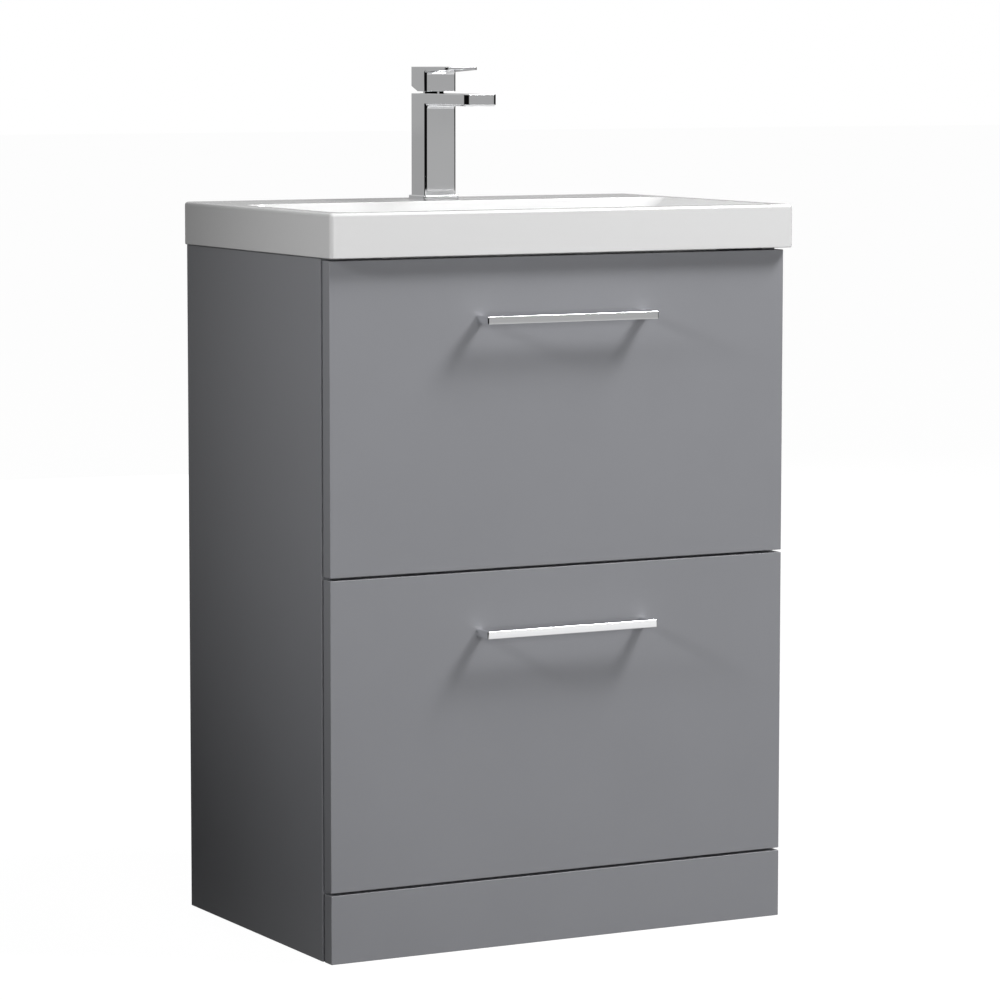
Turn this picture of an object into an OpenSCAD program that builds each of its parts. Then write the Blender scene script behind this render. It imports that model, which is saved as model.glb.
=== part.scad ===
// Floor-standing bathroom vanity cabinet: a two-drawer carcass, a ceramic basin and a single-lever mixer tap.
// Frame: millimetres, +Z up. The drawers face -Y and the wall is at +Y. The origin is on the floor, at the
// centre of the whole object's footprint, handles included.

/* [Cabinet] */
// Width over the side panels
cabinet_w = 600; // [520:1:720]
// Height of the side panels, which carry the basin
cabinet_h = 804; // [670:1:965]
// Depth of a side panel, from its front edge to the wall
side_depth = 365; // [304:1:438]
// Thickness of the carcass boards
board_t = 18; // [15:0.5:22]
// Height of the plinth panel
plinth_h = 79.5; // [70:0.5:120]
// Free depth kept behind the runners for pipes
service_void = 60; // [50:1:100]

/* [Fronts] */
// Thickness of the drawer fronts and the plinth panel
front_t = 18; // [15:0.5:22]
// Gap above, between and below the drawer fronts
front_gap = 3; // [2:0.5:4]
// Space between a front's back face and the side panels
front_standoff = 3; // [2:0.5:4]
// How much narrower a front is than the cabinet, on each side
front_inset = 1; // [0:0.5:2]

/* [Handles] */
// Length of a handle, end to end
handle_len = 225; // [160:1:320]
// Height of the handle bar
handle_h = 9; // [8:0.5:14]
// Thickness of the handle bar, front to back
handle_bar_t = 6; // [5:0.5:9]
// How far a handle stands out of its drawer front
handle_proj = 28; // [24:1:40]
// From the top edge of a front down to the handle's centre
handle_drop = 70.5; // [40:0.5:120]

/* [Drawers] */
// Thickness of the drawer box boards
box_t = 15; // [12:0.5:18]
// Thickness of a drawer box base
box_base_t = 8; // [6:0.5:12]
// Height of the upper drawer box
upper_box_h = 170; // [140:1:204]
// Height of the lower drawer box
lower_box_h = 200; // [140:1:240]
// Clear width of the upper drawer's recess round the trap
trap_recess_w = 150; // [110:1:180]
// Space for a runner between box and side panel
runner_space = 13; // [12.5:0.1:16]
// Height of a runner
runner_h = 45; // [40:1:50]

/* [Basin] */
// Overhang of the basin past each side panel
basin_side_overhang = 4; // [2:0.5:8]
// Overhang of the basin past the drawer fronts
basin_front_overhang = 14; // [8:0.5:24]
// Height of the basin's edge
basin_edge = 51; // [42:0.5:62]
// Thickness of the ceramic
ceramic_t = 12; // [10:0.5:14]
// Width of the flat rim at the two ends
rim_side = 20; // [16:1:40]
// Width of the flat rim at the front
rim_front = 18; // [16:1:30]
// Depth of the flat deck that carries the tap
deck_d = 122; // [112:1:135]
// Depth of the bowl below the rim
bowl_depth = 112; // [93:1:135]
// How far each end of the bowl slopes inwards
bowl_end_run = 176; // [120:1:190]
// How far the front wall of the bowl slopes inwards
bowl_front_run = 70; // [68:1:84]
// How far the back wall of the bowl slopes inwards
bowl_back_run = 38; // [30:1:46]

/* [Waste] */
// Diameter of the waste's threaded outlet
outlet_d = 41.9; // [38:0.1:44]
// Diameter of the waste's flange
flange_d = 64; // [60:1:70]
// How far the plug rises when it is open
plug_travel = 8; // [6:0.5:10]

/* [Tap] */
// Width of the tap's column and spout
tap_w = 42.4; // [40:0.2:52]
// Depth of the tap's column
tap_d = 38.4; // [38:0.2:46]
// Height of the tap's column, up to the top of the spout
tap_column_h = 128; // [107:1:154]
// Reach of the spout from the column's centre
spout_reach = 124; // [103:1:149]
// Thickness of the spout
spout_t = 14; // [13:0.5:18]
// From the wall to the tap's centre
tap_setback = 63; // [56:1:66]
// Height of the lever's block, from its bottom to the top of the lever
lever_block_h = 29.5; // [27:0.5:36]
// Reach of the lever from the column's centre
lever_reach = 74; // [60:1:100]

/* [Hidden] */
$fn = 64;

// Overshoot of a cut past the face that it opens
eps = 1;

// --- Cabinet levels and planes ---
cabinet_d = side_depth + front_standoff + front_t;
y_wall = (cabinet_d + handle_proj) / 2;
y_face = y_wall - cabinet_d;
y_front_back = y_face + front_t;
y_side = y_wall - side_depth;
inner_x = cabinet_w / 2 - board_t;
front_w = cabinet_w - 2 * front_inset;
front_h = (cabinet_h - plinth_h - 3 * front_gap) / 2;
z_lower_front = plinth_h + front_gap;
z_upper_front = z_lower_front + front_h + front_gap;
// The base panel laps behind the gap under the lower front
base_lap = 4.5;
z_base_top = plinth_h + base_lap;
z_base = z_base_top - board_t;
mid_rail_d = 60;
z_mid_rail = z_upper_front - front_gap / 2 - board_t / 2;
back_rail_h = 80;
z_top_back_rail = cabinet_h - back_rail_h;
z_lower_back_rail = z_base_top;
plinth_block = [24, 40, 58];
plinth_block_z = 4;

// --- Cam fittings: [distance along y, height, way the cam's pocket opens] ---
cam_r = 7.5;
cam_depth = 12.5;
cam_setback = 24;
cam_bolt_r = 3;
cam_bolt_in_side = 10;
fitting_clearance = 0.1;
cam_end_margin = 40;
cam_joints = [
    [y_side + cam_end_margin, z_base + board_t / 2, "down"],
    [y_wall - board_t - cam_end_margin, z_base + board_t / 2, "down"],
    [y_side + mid_rail_d / 2, z_mid_rail + board_t / 2, "down"],
    [y_wall - board_t / 2, z_top_back_rail + back_rail_h / 2, "front"],
    [y_wall - board_t / 2, z_lower_back_rail + back_rail_h / 2, "front"]
];

// --- Wall brackets ---
bracket_t = 2;
bracket_leg = 36;
bracket_h = 30;
bracket_hole_r = 3.25;
bracket_hole_x = 24;
z_bracket = z_top_back_rail - bracket_h - 6;
screw_r = 1.7;
screw_head_r = 3.4;
screw_head_t = 0.8;
screw_len = 14;
bracket_screw_y = [12, 27];

// --- Runners: three nested channels of pressed steel ---
runner_len = 50 * floor((side_depth - service_void) / 50);
rail_t = 1.5;
outer_rail_d = 10;
middle_rail_x = 2.8;
middle_rail_t = 1.2;
middle_rail_d = 6.4;
middle_rail_h = runner_h - 8;
drawer_rail_d = 8;
drawer_rail_h = runner_h - 16;
rail_setback = 1;
y_rail = y_side + rail_setback;
rail_screw_at = [37, runner_len / 2, runner_len - 37];
runner_rise = 42;

// --- Drawer boxes ---
box_x = inner_x - runner_space;
box_d = runner_len + 4;
box_rise = 18;
z_upper_box = z_upper_front + box_rise;
z_lower_box = z_lower_front + box_rise;
groove_d = 5;
groove_z = 10;
groove_clearance = 0.3;
y_box_back = y_front_back + box_d;

// --- Handles ---
handle_foot_w = 9;
handle_edge_r = 1.5;
handle_hole_r = 2.05;
handle_hole_d = 14;
handle_x = handle_len / 2 - handle_foot_w / 2;
handle_screw_r = 2;
handle_screw_head_r = 4;
handle_screw_head_t = 2.5;
front_hole_r = 2.25;

// --- Bumpers on the side panels' front edges ---
bumper_r = 5;
bumper_air = 0.1;
bumper_inset = 30;

// --- Basin ---
basin_w = cabinet_w + 2 * basin_side_overhang;
basin_d = cabinet_d + basin_front_overhang;
y_basin = y_wall - basin_d;
z_rim = cabinet_h + basin_edge;
z_bowl_floor = z_rim - bowl_depth;
bowl_l = basin_w - 2 * rim_side;
bowl_floor_l = bowl_l - 2 * bowl_end_run;
y_bowl_front = y_basin + rim_front;
y_bowl_back = y_wall - deck_d;
y_floor_front = y_bowl_front + bowl_front_run;
y_floor_back = y_bowl_back - bowl_back_run;
basin_corner_r = 5;
skirt_t = 14;
deck_t = 13;
// Horizontal thickness of a sloping wall, so that it is ceramic_t thick along its normal
function wall_run(run) = ceramic_t * sqrt(run * run + bowl_depth * bowl_depth) / bowl_depth;
tap_hole_r = 17.5;

// --- Waste and overflow ---
y_waste = (y_floor_front + y_floor_back) / 2;
boss_r = 44;
boss_t = 30;
waste_hole_r = outlet_d / 2 + 2;
flange_t = 3;
flange_recess = 2;
z_flange = z_bowl_floor - flange_recess;
z_boss = z_bowl_floor - boss_t;
washer_t = 4;
nut_t = 11;
nut_r = outlet_d / 2 + 9;
z_nut = z_boss - washer_t - nut_t;
thread_relief = 0.4;
outlet_len = 43;
z_outlet = z_nut - outlet_len;
waste_wall = 3;
waste_bore_r = outlet_d / 2 - waste_wall;
duct_w = 34;
duct_gap = 8;
duct_skin = 8;
z_duct_low = z_boss + 7;
duct_h = 10;
z_duct_top = z_rim - 26;
overflow_r = 11;
z_overflow = z_rim - 40;
back_slope = atan(bowl_back_run / bowl_depth);
ring_r = 15;
ring_t = 2.4;
ring_bore_r = 8.5;
plug_r = flange_d / 2 - 1.5;
plug_t = 5;
seal_t = 1.2;
seal_w = 4;
seal_inset = 3;
seal_air = 0.05;
z_plug = z_flange + flange_t + seal_air + seal_t;
plug_stem_r = 4;
plug_stem_len = 34;
hub_r = 7;
hub_len = 16;
hub_clearance = 0.08;
web_t = 3;

// --- Tap, measured from the deck and from the column's axis ---
y_tap = y_wall - tap_setback;
base_plate_t = 5;
base_plate_lip = 2.4;
tap_edge_r = 2.5;
spout_corner_r = 5;
spout_chamfer = 2;
spout_cove_r = 4.5;
lever_cove_r = 3;
shank_r = 16;
shank_clearance = 0.2;
shank_top = 18;
shank_low = -12;
inlet_r = 5;
inlet_x = 8;
inlet_y = -3;
inlet_len = 20;
stud_r = 4;
stud_y = 9;
stud_low = -62;
stud_in_shank = 16;
cartridge_r = 14;
cartridge_clearance = 0.3;
cartridge_low = tap_column_h - 60;
cartridge_top = tap_column_h - 12;
nut_hole_r = 16.5;
nut_hole_depth = tap_column_h - cartridge_top;
nut_bore_r = 11;
neck_r = 12.5;
neck_rise = 4;
lever_hollow_r = 16;
lever_hollow_h = 8;
thread_fit = 0.05;
aerator_r = 10;
aerator_y = -(spout_reach - 18);
aerator_t = 7;
waterway_r = 3.5;
lever_gap = 2.5;
z_lever = tap_column_h + lever_gap;
z_lever_top = z_lever + lever_block_h;
lever_plate_t = 6.2;
lever_tip_t = 3.4;
lever_chamfer_run = tap_d / 2 - 1;
lever_chamfer_rise = 7;
pivot_z = tap_column_h - 6;
spindle = 8;
spindle_top = z_lever + 17;
spindle_low = pivot_z - 5;
spindle_fit = 0.1;
carrier_r = 10;
carrier_clearance = 0.3;
carrier_low = tap_column_h - 11.5;
carrier_top = tap_column_h - 1;
pin_r = 1.25;
pin_fit = 0.05;
grub_r = 2.5;
grub_len = 8;
clamp_r = 25;
clamp_pad_t = 3;
clamp_plate_t = 2.5;
stud_nut_h = 10;
stud_nut_r = 7.5;

lacquer = [0.42, 0.43, 0.45];
box_grey = [0.72, 0.72, 0.70];
zinc = [0.66, 0.67, 0.69];
bright = [0.84, 0.85, 0.87];
glaze = [0.95, 0.95, 0.94];
black_rubber = [0.08, 0.08, 0.08];
yellow_brass = [0.78, 0.62, 0.32];
clear_pad = [0.80, 0.80, 0.78];

// --- Shared shapes ---

// A rectangle about the origin with round corners, kept as true arcs
module round_rect(w, d, r) {
    square([w - 2 * r, d], center = true);
    square([w, d - 2 * r], center = true);
    for (x = [-1, 1], y = [-1, 1])
        translate([x * (w / 2 - r), y * (d / 2 - r)]) circle(r);
}

// Extrudes a profile drawn in X and Z along Y, centred on y = 0
module along_y(len) rotate([90, 0, 0]) linear_extrude(height = len, center = true) children();

// Extrudes a profile drawn in Y and Z along X, centred on x = 0
module along_x(len) rotate([90, 0, 90]) linear_extrude(height = len, center = true) children();

// A box given by its lowest corner and its size
module board(corner, size) translate(corner) cube(size);

// A rod along X, from x0 to x1
module rod_x(x0, x1, r, y = 0, z = 0)
    translate([x0, y, z]) rotate([0, 90, 0]) cylinder(r = r, h = x1 - x0);

// A rod along Y, from y0 to y1
module rod_y(y0, y1, r, x = 0, z = 0)
    translate([x, y0, z]) rotate([-90, 0, 0]) cylinder(r = r, h = y1 - y0);

// A pressed channel along Y from y = 0: its web is at x = 0 and its flanges run to x = depth
module channel(h, depth, t, len) {
    translate([0, 0, -h / 2]) cube([t, len, h]);
    for (z = [-h / 2, h / 2 - t]) translate([0, 0, z]) cube([depth, len, t]);
}

// Children drawn for the left side, and mirrored where side is 1
module on_side(side) mirror([side > 0 ? 1 : 0, 0, 0]) children();

// --- Carcass ---

// One cam joint's pocket in the board that it holds, at the left end
module cam_pocket(joint, r, depth) {
    x = -inner_x + cam_setback;
    if (joint[2] == "down")
        translate([x, joint[0], joint[1] - board_t / 2 - eps]) cylinder(r = r, h = depth + eps);
    else
        rod_y(joint[0] - board_t / 2 - eps, joint[0] - board_t / 2 + depth, r, x, joint[1]);
}

module cam_cuts(joints) {
    for (side = [-1, 1], joint = joints) on_side(side) {
        cam_pocket(joint, cam_r + fitting_clearance, cam_depth + fitting_clearance);
        rod_x(-inner_x - eps, -inner_x + cam_setback, cam_bolt_r + fitting_clearance,
              joint[0], joint[1]);
    }
}

module cam_lock(joint) {
    x = -inner_x + cam_setback;
    translate([x, joint[0], joint[1]])
        rotate(joint[2] == "down" ? [0, 0, 0] : [-90, 0, 0])
            translate([0, 0, -board_t / 2]) difference() {
                cylinder(r = cam_r, h = cam_depth);
                // The driver slot
                for (turn = [0, 90]) rotate([0, 0, turn])
                    translate([-4, -0.8, -eps]) cube([8, 1.6, 3 + eps]);
                // The room for the bolt's head
                translate([-cam_r - eps, -cam_bolt_r - 0.5, board_t / 2 - cam_bolt_r - 0.5])
                    cube([cam_r + 3, 2 * cam_bolt_r + 1, cam_depth]);
            }
}

module cam_locks() color(zinc)
    for (side = [-1, 1], joint = cam_joints) on_side(side) cam_lock(joint);

module cam_bolts() color(zinc)
    for (side = [-1, 1], joint = cam_joints) on_side(side)
        rod_x(-inner_x - cam_bolt_in_side, -inner_x + cam_setback - 4, cam_bolt_r, joint[0], joint[1]);

// Where the screws of the two runners and of the bracket enter a side panel: [y, z]
side_screws = concat(
    [for (z = [z_lower_box, z_upper_box], y = rail_screw_at) [y_rail + y, z + runner_rise]],
    [for (y = bracket_screw_y) [y_wall - y, z_bracket + bracket_h / 2]]
);

module side_panel(side) color(lacquer) on_side(side) difference() {
    board([-cabinet_w / 2, y_side, 0], [board_t, side_depth, cabinet_h]);
    for (joint = cam_joints)
        rod_x(-inner_x - cam_bolt_in_side - fitting_clearance, -inner_x + eps,
              cam_bolt_r + fitting_clearance, joint[0], joint[1]);
    for (screw = side_screws)
        rod_x(-inner_x - screw_len, -inner_x + eps, screw_r + fitting_clearance, screw[0], screw[1]);
}

module left_side_panel() side_panel(-1);
module right_side_panel() side_panel(1);

// A board from one side panel to the other, with its cam pockets
module cross_board(y, z, d, h, joints) color(lacquer) difference() {
    board([-inner_x, y, z], [2 * inner_x, d, h]);
    cam_cuts(joints);
}

module base_panel()
    cross_board(y_side, z_base, side_depth, board_t, [cam_joints[0], cam_joints[1]]);
module mid_front_rail() cross_board(y_side, z_mid_rail, mid_rail_d, board_t, [cam_joints[2]]);
module top_back_rail()
    cross_board(y_wall - board_t, z_top_back_rail, board_t, back_rail_h, [cam_joints[3]]);
module lower_back_rail()
    cross_board(y_wall - board_t, z_lower_back_rail, board_t, back_rail_h, [cam_joints[4]]);

module plinth_panel() color(lacquer) board([-front_w / 2, y_face, 0], [front_w, front_t, plinth_h]);

module plinth_blocks() color(lacquer)
    for (side = [-1, 1]) on_side(side)
        board([-inner_x, y_front_back, plinth_block_z], plinth_block);

module front_bumpers() color(clear_pad)
    for (side = [-1, 1], z0 = [z_lower_front, z_upper_front], z = [bumper_inset, front_h - bumper_inset])
        on_side(side)
            rod_y(y_front_back + bumper_air, y_side, bumper_r, -inner_x - board_t / 2, z0 + z);

module wall_brackets() color(zinc)
    for (side = [-1, 1]) on_side(side) difference() {
        union() {
            board([-inner_x, y_wall - bracket_leg, z_bracket], [bracket_t, bracket_leg, bracket_h]);
            board([-inner_x, y_wall - bracket_t, z_bracket], [bracket_leg, bracket_t, bracket_h]);
        }
        rod_y(y_wall - bracket_t - eps, y_wall + eps, bracket_hole_r,
              -inner_x + bracket_hole_x, z_bracket + bracket_h / 2);
        for (y = bracket_screw_y)
            rod_x(-inner_x - eps, -inner_x + bracket_t + eps, screw_r + fitting_clearance,
                  y_wall - y, z_bracket + bracket_h / 2);
    }

// A pan-head wood screw along -X: its head lies on a sheet of thickness sheet_t
module wood_screw(sheet_t, y, z) {
    rod_x(-inner_x - screw_len + fitting_clearance, -inner_x + sheet_t, screw_r, y, z);
    rod_x(-inner_x + sheet_t, -inner_x + sheet_t + screw_head_t, screw_head_r, y, z);
}

// The screws that hold the cabinet's runners and the wall brackets to the side panels
module panel_screws() color(zinc) for (side = [-1, 1]) on_side(side) {
    for (y = bracket_screw_y) wood_screw(bracket_t, y_wall - y, z_bracket + bracket_h / 2);
    for (z = [z_lower_box, z_upper_box], y = rail_screw_at)
        wood_screw(rail_t, y_rail + y, z + runner_rise);
}

// --- Runners ---

module cabinet_rail(side, z_box) color(zinc) on_side(side)
    translate([-inner_x, y_rail, z_box + runner_rise]) difference() {
        channel(runner_h, outer_rail_d, rail_t, runner_len);
        for (y = rail_screw_at)
            rod_x(-eps, rail_t + eps, screw_r + fitting_clearance, y);
    }

module middle_rails(z_box) color(zinc)
    for (side = [-1, 1]) on_side(side)
        translate([-inner_x + middle_rail_x, y_rail, z_box + runner_rise])
            channel(middle_rail_h, middle_rail_d, middle_rail_t, runner_len);

module drawer_rail(side, z_box) color(zinc) on_side(side)
    translate([-box_x, y_rail, z_box + runner_rise]) mirror([1, 0, 0])
        channel(drawer_rail_h, drawer_rail_d, rail_t, runner_len);

module upper_left_cabinet_rail() cabinet_rail(-1, z_upper_box);
module upper_right_cabinet_rail() cabinet_rail(1, z_upper_box);
module lower_left_cabinet_rail() cabinet_rail(-1, z_lower_box);
module lower_right_cabinet_rail() cabinet_rail(1, z_lower_box);
module upper_middle_rails() middle_rails(z_upper_box);
module lower_middle_rails() middle_rails(z_lower_box);
module upper_left_drawer_rail() drawer_rail(-1, z_upper_box);
module upper_right_drawer_rail() drawer_rail(1, z_upper_box);
module lower_left_drawer_rail() drawer_rail(-1, z_lower_box);
module lower_right_drawer_rail() drawer_rail(1, z_lower_box);

// --- Drawers ---

module drawer_front(z) color(lacquer) difference() {
    board([-front_w / 2, y_face, z], [front_w, front_t, front_h]);
    for (x = [-handle_x, handle_x])
        rod_y(y_face - eps, y_front_back + eps, front_hole_r, x, z + front_h - handle_drop);
}

// A D handle: a square bar with a foot at each end, drawn from above and extruded upwards
module handle(z) color(bright)
    translate([0, y_face, z + front_h - handle_drop]) difference() {
        translate([0, 0, -handle_h / 2]) linear_extrude(height = handle_h) difference() {
            union() {
                translate([0, -handle_proj / 2]) round_rect(handle_len, handle_proj, handle_edge_r);
                for (side = [-1, 1])
                    translate([side * (handle_len / 2 - handle_foot_w / 2), -handle_edge_r])
                        square([handle_foot_w, 2 * handle_edge_r], center = true);
            }
            translate([-handle_len / 2 + handle_foot_w, -handle_proj + handle_bar_t])
                square([handle_len - 2 * handle_foot_w, handle_proj]);
        }
        for (x = [-handle_x, handle_x]) rod_y(-handle_hole_d, eps, handle_hole_r, x);
    }

module handle_screws(z) color(zinc)
    for (x = [-handle_x, handle_x]) translate([x, 0, z + front_h - handle_drop]) {
        rod_y(y_face - handle_hole_d + 2, y_front_back, handle_screw_r);
        rod_y(y_front_back, y_front_back + handle_screw_head_t, handle_screw_head_r);
    }

// A side of a drawer box, grooved on the inside for the base
module box_side(side, z, h) color(box_grey) on_side(side) difference() {
    board([-box_x, y_front_back, z], [box_t, box_d, h]);
    board([-box_x + box_t - groove_d, y_front_back - eps, z + groove_z],
          [groove_d + eps, box_d + 2 * eps, box_base_t + groove_clearance]);
}

// The base's outline, let into the side grooves and stopping at the back board
module box_base_outline()
    translate([-box_x + box_t - groove_d + groove_clearance, y_front_back])
        square([2 * (box_x - box_t + groove_d - groove_clearance), box_d]);

module upper_drawer_front() drawer_front(z_upper_front);
module lower_drawer_front() drawer_front(z_lower_front);
module upper_handle() handle(z_upper_front);
module lower_handle() handle(z_lower_front);
module upper_handle_screws() handle_screws(z_upper_front);
module lower_handle_screws() handle_screws(z_lower_front);
module upper_box_left_side() box_side(-1, z_upper_box, upper_box_h);
module upper_box_right_side() box_side(1, z_upper_box, upper_box_h);
module lower_box_left_side() box_side(-1, z_lower_box, lower_box_h);
module lower_box_right_side() box_side(1, z_lower_box, lower_box_h);

// The recess round the trap: open at the back, and reaching this far in front of the waste
recess_before_waste = 56;
recess_x = trap_recess_w / 2;
y_recess = y_waste - recess_before_waste;
// Boards that stand on the base start at its top
z_upper_floor = z_upper_box + groove_z + box_base_t;
z_lower_floor = z_lower_box + groove_z + box_base_t;
upper_wall_h = upper_box_h - groove_z - box_base_t;
lower_wall_h = lower_box_h - groove_z - box_base_t;

module upper_box_backs() color(box_grey)
    for (side = [-1, 1]) on_side(side)
        board([-box_x + box_t, y_box_back - box_t, z_upper_floor],
              [box_x - box_t - recess_x - box_t, box_t, upper_wall_h]);

module upper_recess_walls() color(box_grey) {
    for (side = [-1, 1]) on_side(side)
        board([-recess_x - box_t, y_recess - box_t, z_upper_floor],
              [box_t, y_box_back - y_recess + box_t, upper_wall_h]);
    board([-recess_x, y_recess - box_t, z_upper_floor], [2 * recess_x, box_t, upper_wall_h]);
}

module upper_box_base() color(box_grey)
    translate([0, 0, z_upper_box + groove_z]) linear_extrude(height = box_base_t) difference() {
        box_base_outline();
        translate([-recess_x, y_recess]) square([2 * recess_x, y_box_back - y_recess + eps]);
    }

module lower_box_back() color(box_grey)
    board([-box_x + box_t, y_box_back - box_t, z_lower_floor],
          [2 * (box_x - box_t), box_t, lower_wall_h]);

module lower_box_base() color(box_grey)
    translate([0, 0, z_lower_box + groove_z]) linear_extrude(height = box_base_t) box_base_outline();

// --- Basin ---

// The bowl's hollow: its two ends, and its front and back, slope down to a flat floor
module bowl_hollow() intersection() {
    translate([0, (y_bowl_front + y_bowl_back) / 2, 0]) along_y(basin_d) polygon([
        [-bowl_l / 2, z_rim + eps], [-bowl_l / 2, z_rim], [-bowl_floor_l / 2, z_bowl_floor],
        [bowl_floor_l / 2, z_bowl_floor], [bowl_l / 2, z_rim], [bowl_l / 2, z_rim + eps]
    ]);
    along_x(basin_w) polygon([
        [y_bowl_front, z_rim + eps], [y_bowl_front, z_rim], [y_floor_front, z_bowl_floor],
        [y_floor_back, z_bowl_floor], [y_bowl_back, z_rim], [y_bowl_back, z_rim + eps]
    ]);
}

// The bowl's outside, ceramic_t thick all round, inside the basin's own outline
module bowl_shell() intersection() {
    board([-basin_w / 2, y_basin, z_bowl_floor - ceramic_t], [basin_w, basin_d, bowl_depth + ceramic_t]);
    let (out = wall_run(bowl_end_run), down = bowl_end_run * ceramic_t / bowl_depth)
        translate([0, y_basin + basin_d / 2, 0]) along_y(basin_d) polygon([
            [-bowl_l / 2 - out, z_rim], [-bowl_floor_l / 2 - out + down, z_bowl_floor - ceramic_t],
            [bowl_floor_l / 2 + out - down, z_bowl_floor - ceramic_t], [bowl_l / 2 + out, z_rim]
        ]);
    let (front = wall_run(bowl_front_run), front_down = bowl_front_run * ceramic_t / bowl_depth,
         back = wall_run(bowl_back_run), back_down = bowl_back_run * ceramic_t / bowl_depth)
        along_x(basin_w) polygon([
            [y_bowl_front - front, z_rim],
            [y_floor_front - front + front_down, z_bowl_floor - ceramic_t],
            [y_floor_back + back - back_down, z_bowl_floor - ceramic_t], [y_bowl_back + back, z_rim]
        ]);
}

// y of the bowl's back wall at height z, moved out by a distance along the wall's normal
function back_wall_y(z, out) =
    y_floor_back + (z - z_bowl_floor) * bowl_back_run / bowl_depth + out / cos(back_slope);

// The overflow duct down the back of the bowl and under its floor: grow thickens it all round
module overflow_duct(grow) along_x(duct_w + 2 * grow) polygon([
    [back_wall_y(z_duct_top, ceramic_t - 0.5 * grow), z_duct_top + grow],
    [back_wall_y(z_duct_top, ceramic_t + duct_gap + grow), z_duct_top + grow],
    [back_wall_y(z_duct_low, ceramic_t + duct_gap + grow), z_duct_low - grow],
    [y_waste, z_duct_low - grow],
    [y_waste, z_duct_low + duct_h + 0.5 * grow],
    [back_wall_y(z_duct_low + duct_h, ceramic_t - 0.5 * grow), z_duct_low + duct_h + 0.5 * grow]
]);

module basin() color(glaze) difference() {
    union() {
        difference() {
            translate([0, y_basin + basin_d / 2, cabinet_h])
                linear_extrude(height = basin_edge) round_rect(basin_w, basin_d, basin_corner_r);
            board([-basin_w / 2 + skirt_t, y_basin + skirt_t, cabinet_h - eps],
                  [basin_w - 2 * skirt_t, basin_d - 2 * skirt_t, basin_edge - deck_t + eps]);
        }
        bowl_shell();
        overflow_duct(duct_skin - 1);
        translate([0, y_waste, z_boss]) cylinder(r = boss_r, h = boss_t);
    }
    bowl_hollow();
    overflow_duct(0);
    translate([0, y_waste, z_boss - eps]) cylinder(r = waste_hole_r, h = boss_t + 2 * eps);
    translate([0, y_waste, z_flange]) cylinder(r = flange_d / 2 + 0.5, h = flange_recess + eps);
    translate([0, back_wall_y(z_overflow, 0), z_overflow]) rotate([-90 - back_slope, 0, 0])
        translate([0, 0, -ceramic_t]) cylinder(r = overflow_r, h = 2 * ceramic_t + duct_gap / 2);
    translate([0, y_tap, z_rim - deck_t - eps]) cylinder(r = tap_hole_r, h = deck_t + 2 * eps);
}

module overflow_ring() color(bright)
    translate([0, back_wall_y(z_overflow, 0), z_overflow]) rotate([-90 - back_slope, 0, 0])
        difference() {
            union() {
                translate([0, 0, -ring_t]) cylinder(r = ring_r, h = ring_t);
                cylinder(r = overflow_r - 0.3, h = ceramic_t - 2);
            }
            translate([0, 0, -ring_t - eps]) cylinder(r = ring_bore_r, h = ring_t + ceramic_t);
        }

// --- Waste ---

// The slotted waste: its flange, its tube, the windows that let the overflow in, and the plug's hub
module waste_body() color(bright) translate([0, y_waste, 0]) {
    difference() {
        union() {
            translate([0, 0, z_flange]) cylinder(r = flange_d / 2, h = flange_t);
            translate([0, 0, z_nut - eps])
                cylinder(r = outlet_d / 2 - thread_relief, h = z_flange - z_nut + 2 * eps);
            translate([0, 0, z_outlet]) cylinder(r = outlet_d / 2, h = outlet_len);
        }
        translate([0, 0, z_outlet - eps]) cylinder(r = waste_bore_r, h = z_rim - z_outlet);
        for (turn = [45, 135]) rotate([0, 0, turn])
            translate([-outlet_d, -5, z_duct_low - 1]) cube([2 * outlet_d, 10, duct_h + 2]);
    }
    difference() {
        translate([0, 0, z_flange - hub_len]) union() {
            cylinder(r = hub_r, h = hub_len - 3);
            for (turn = [0, 90]) rotate([0, 0, turn])
                translate([-waste_bore_r - 0.5, -web_t / 2, 0]) cube([2 * waste_bore_r + 1, web_t, 5]);
        }
        translate([0, 0, z_flange - hub_len - eps])
            cylinder(r = plug_stem_r + hub_clearance, h = hub_len + eps);
    }
}

module waste_washer() color(black_rubber) translate([0, y_waste, z_boss - washer_t]) difference() {
    cylinder(r = nut_r + 2, h = washer_t);
    translate([0, 0, -eps]) cylinder(r = outlet_d / 2 + 0.1, h = washer_t + 2 * eps);
}

module waste_nut() color(bright) translate([0, y_waste, z_nut]) difference() {
    cylinder(r = nut_r, h = nut_t);
    translate([0, 0, -eps]) cylinder(r = outlet_d / 2 + 0.1, h = nut_t + 2 * eps);
    for (turn = [0:60:300]) rotate([0, 0, turn])
        translate([nut_r + 1, 0, -eps]) cylinder(r = 4, h = nut_t + 2 * eps);
}

module waste_plug() color(bright) translate([0, y_waste, z_plug]) {
    rotate_extrude() polygon([[0, 0], [plug_r, 0], [plug_r, plug_t - 2.5], [plug_r - 3, plug_t - 0.8],
                              [plug_r - 12, plug_t], [0, plug_t]]);
    translate([0, 0, -plug_stem_len]) cylinder(r = plug_stem_r, h = plug_stem_len);
}

// The ring under the plug that closes on the flange
module plug_seal() color(black_rubber)
    translate([0, y_waste, z_plug - seal_t]) difference() {
        cylinder(r = plug_r - seal_inset, h = seal_t);
        translate([0, 0, -eps]) cylinder(r = plug_r - seal_inset - seal_w, h = seal_t + 2 * eps);
    }

// --- Tap ---

// Places children on the tap's axis with z = 0 at the deck
module at_tap() translate([0, y_tap, z_rim]) children();

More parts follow.
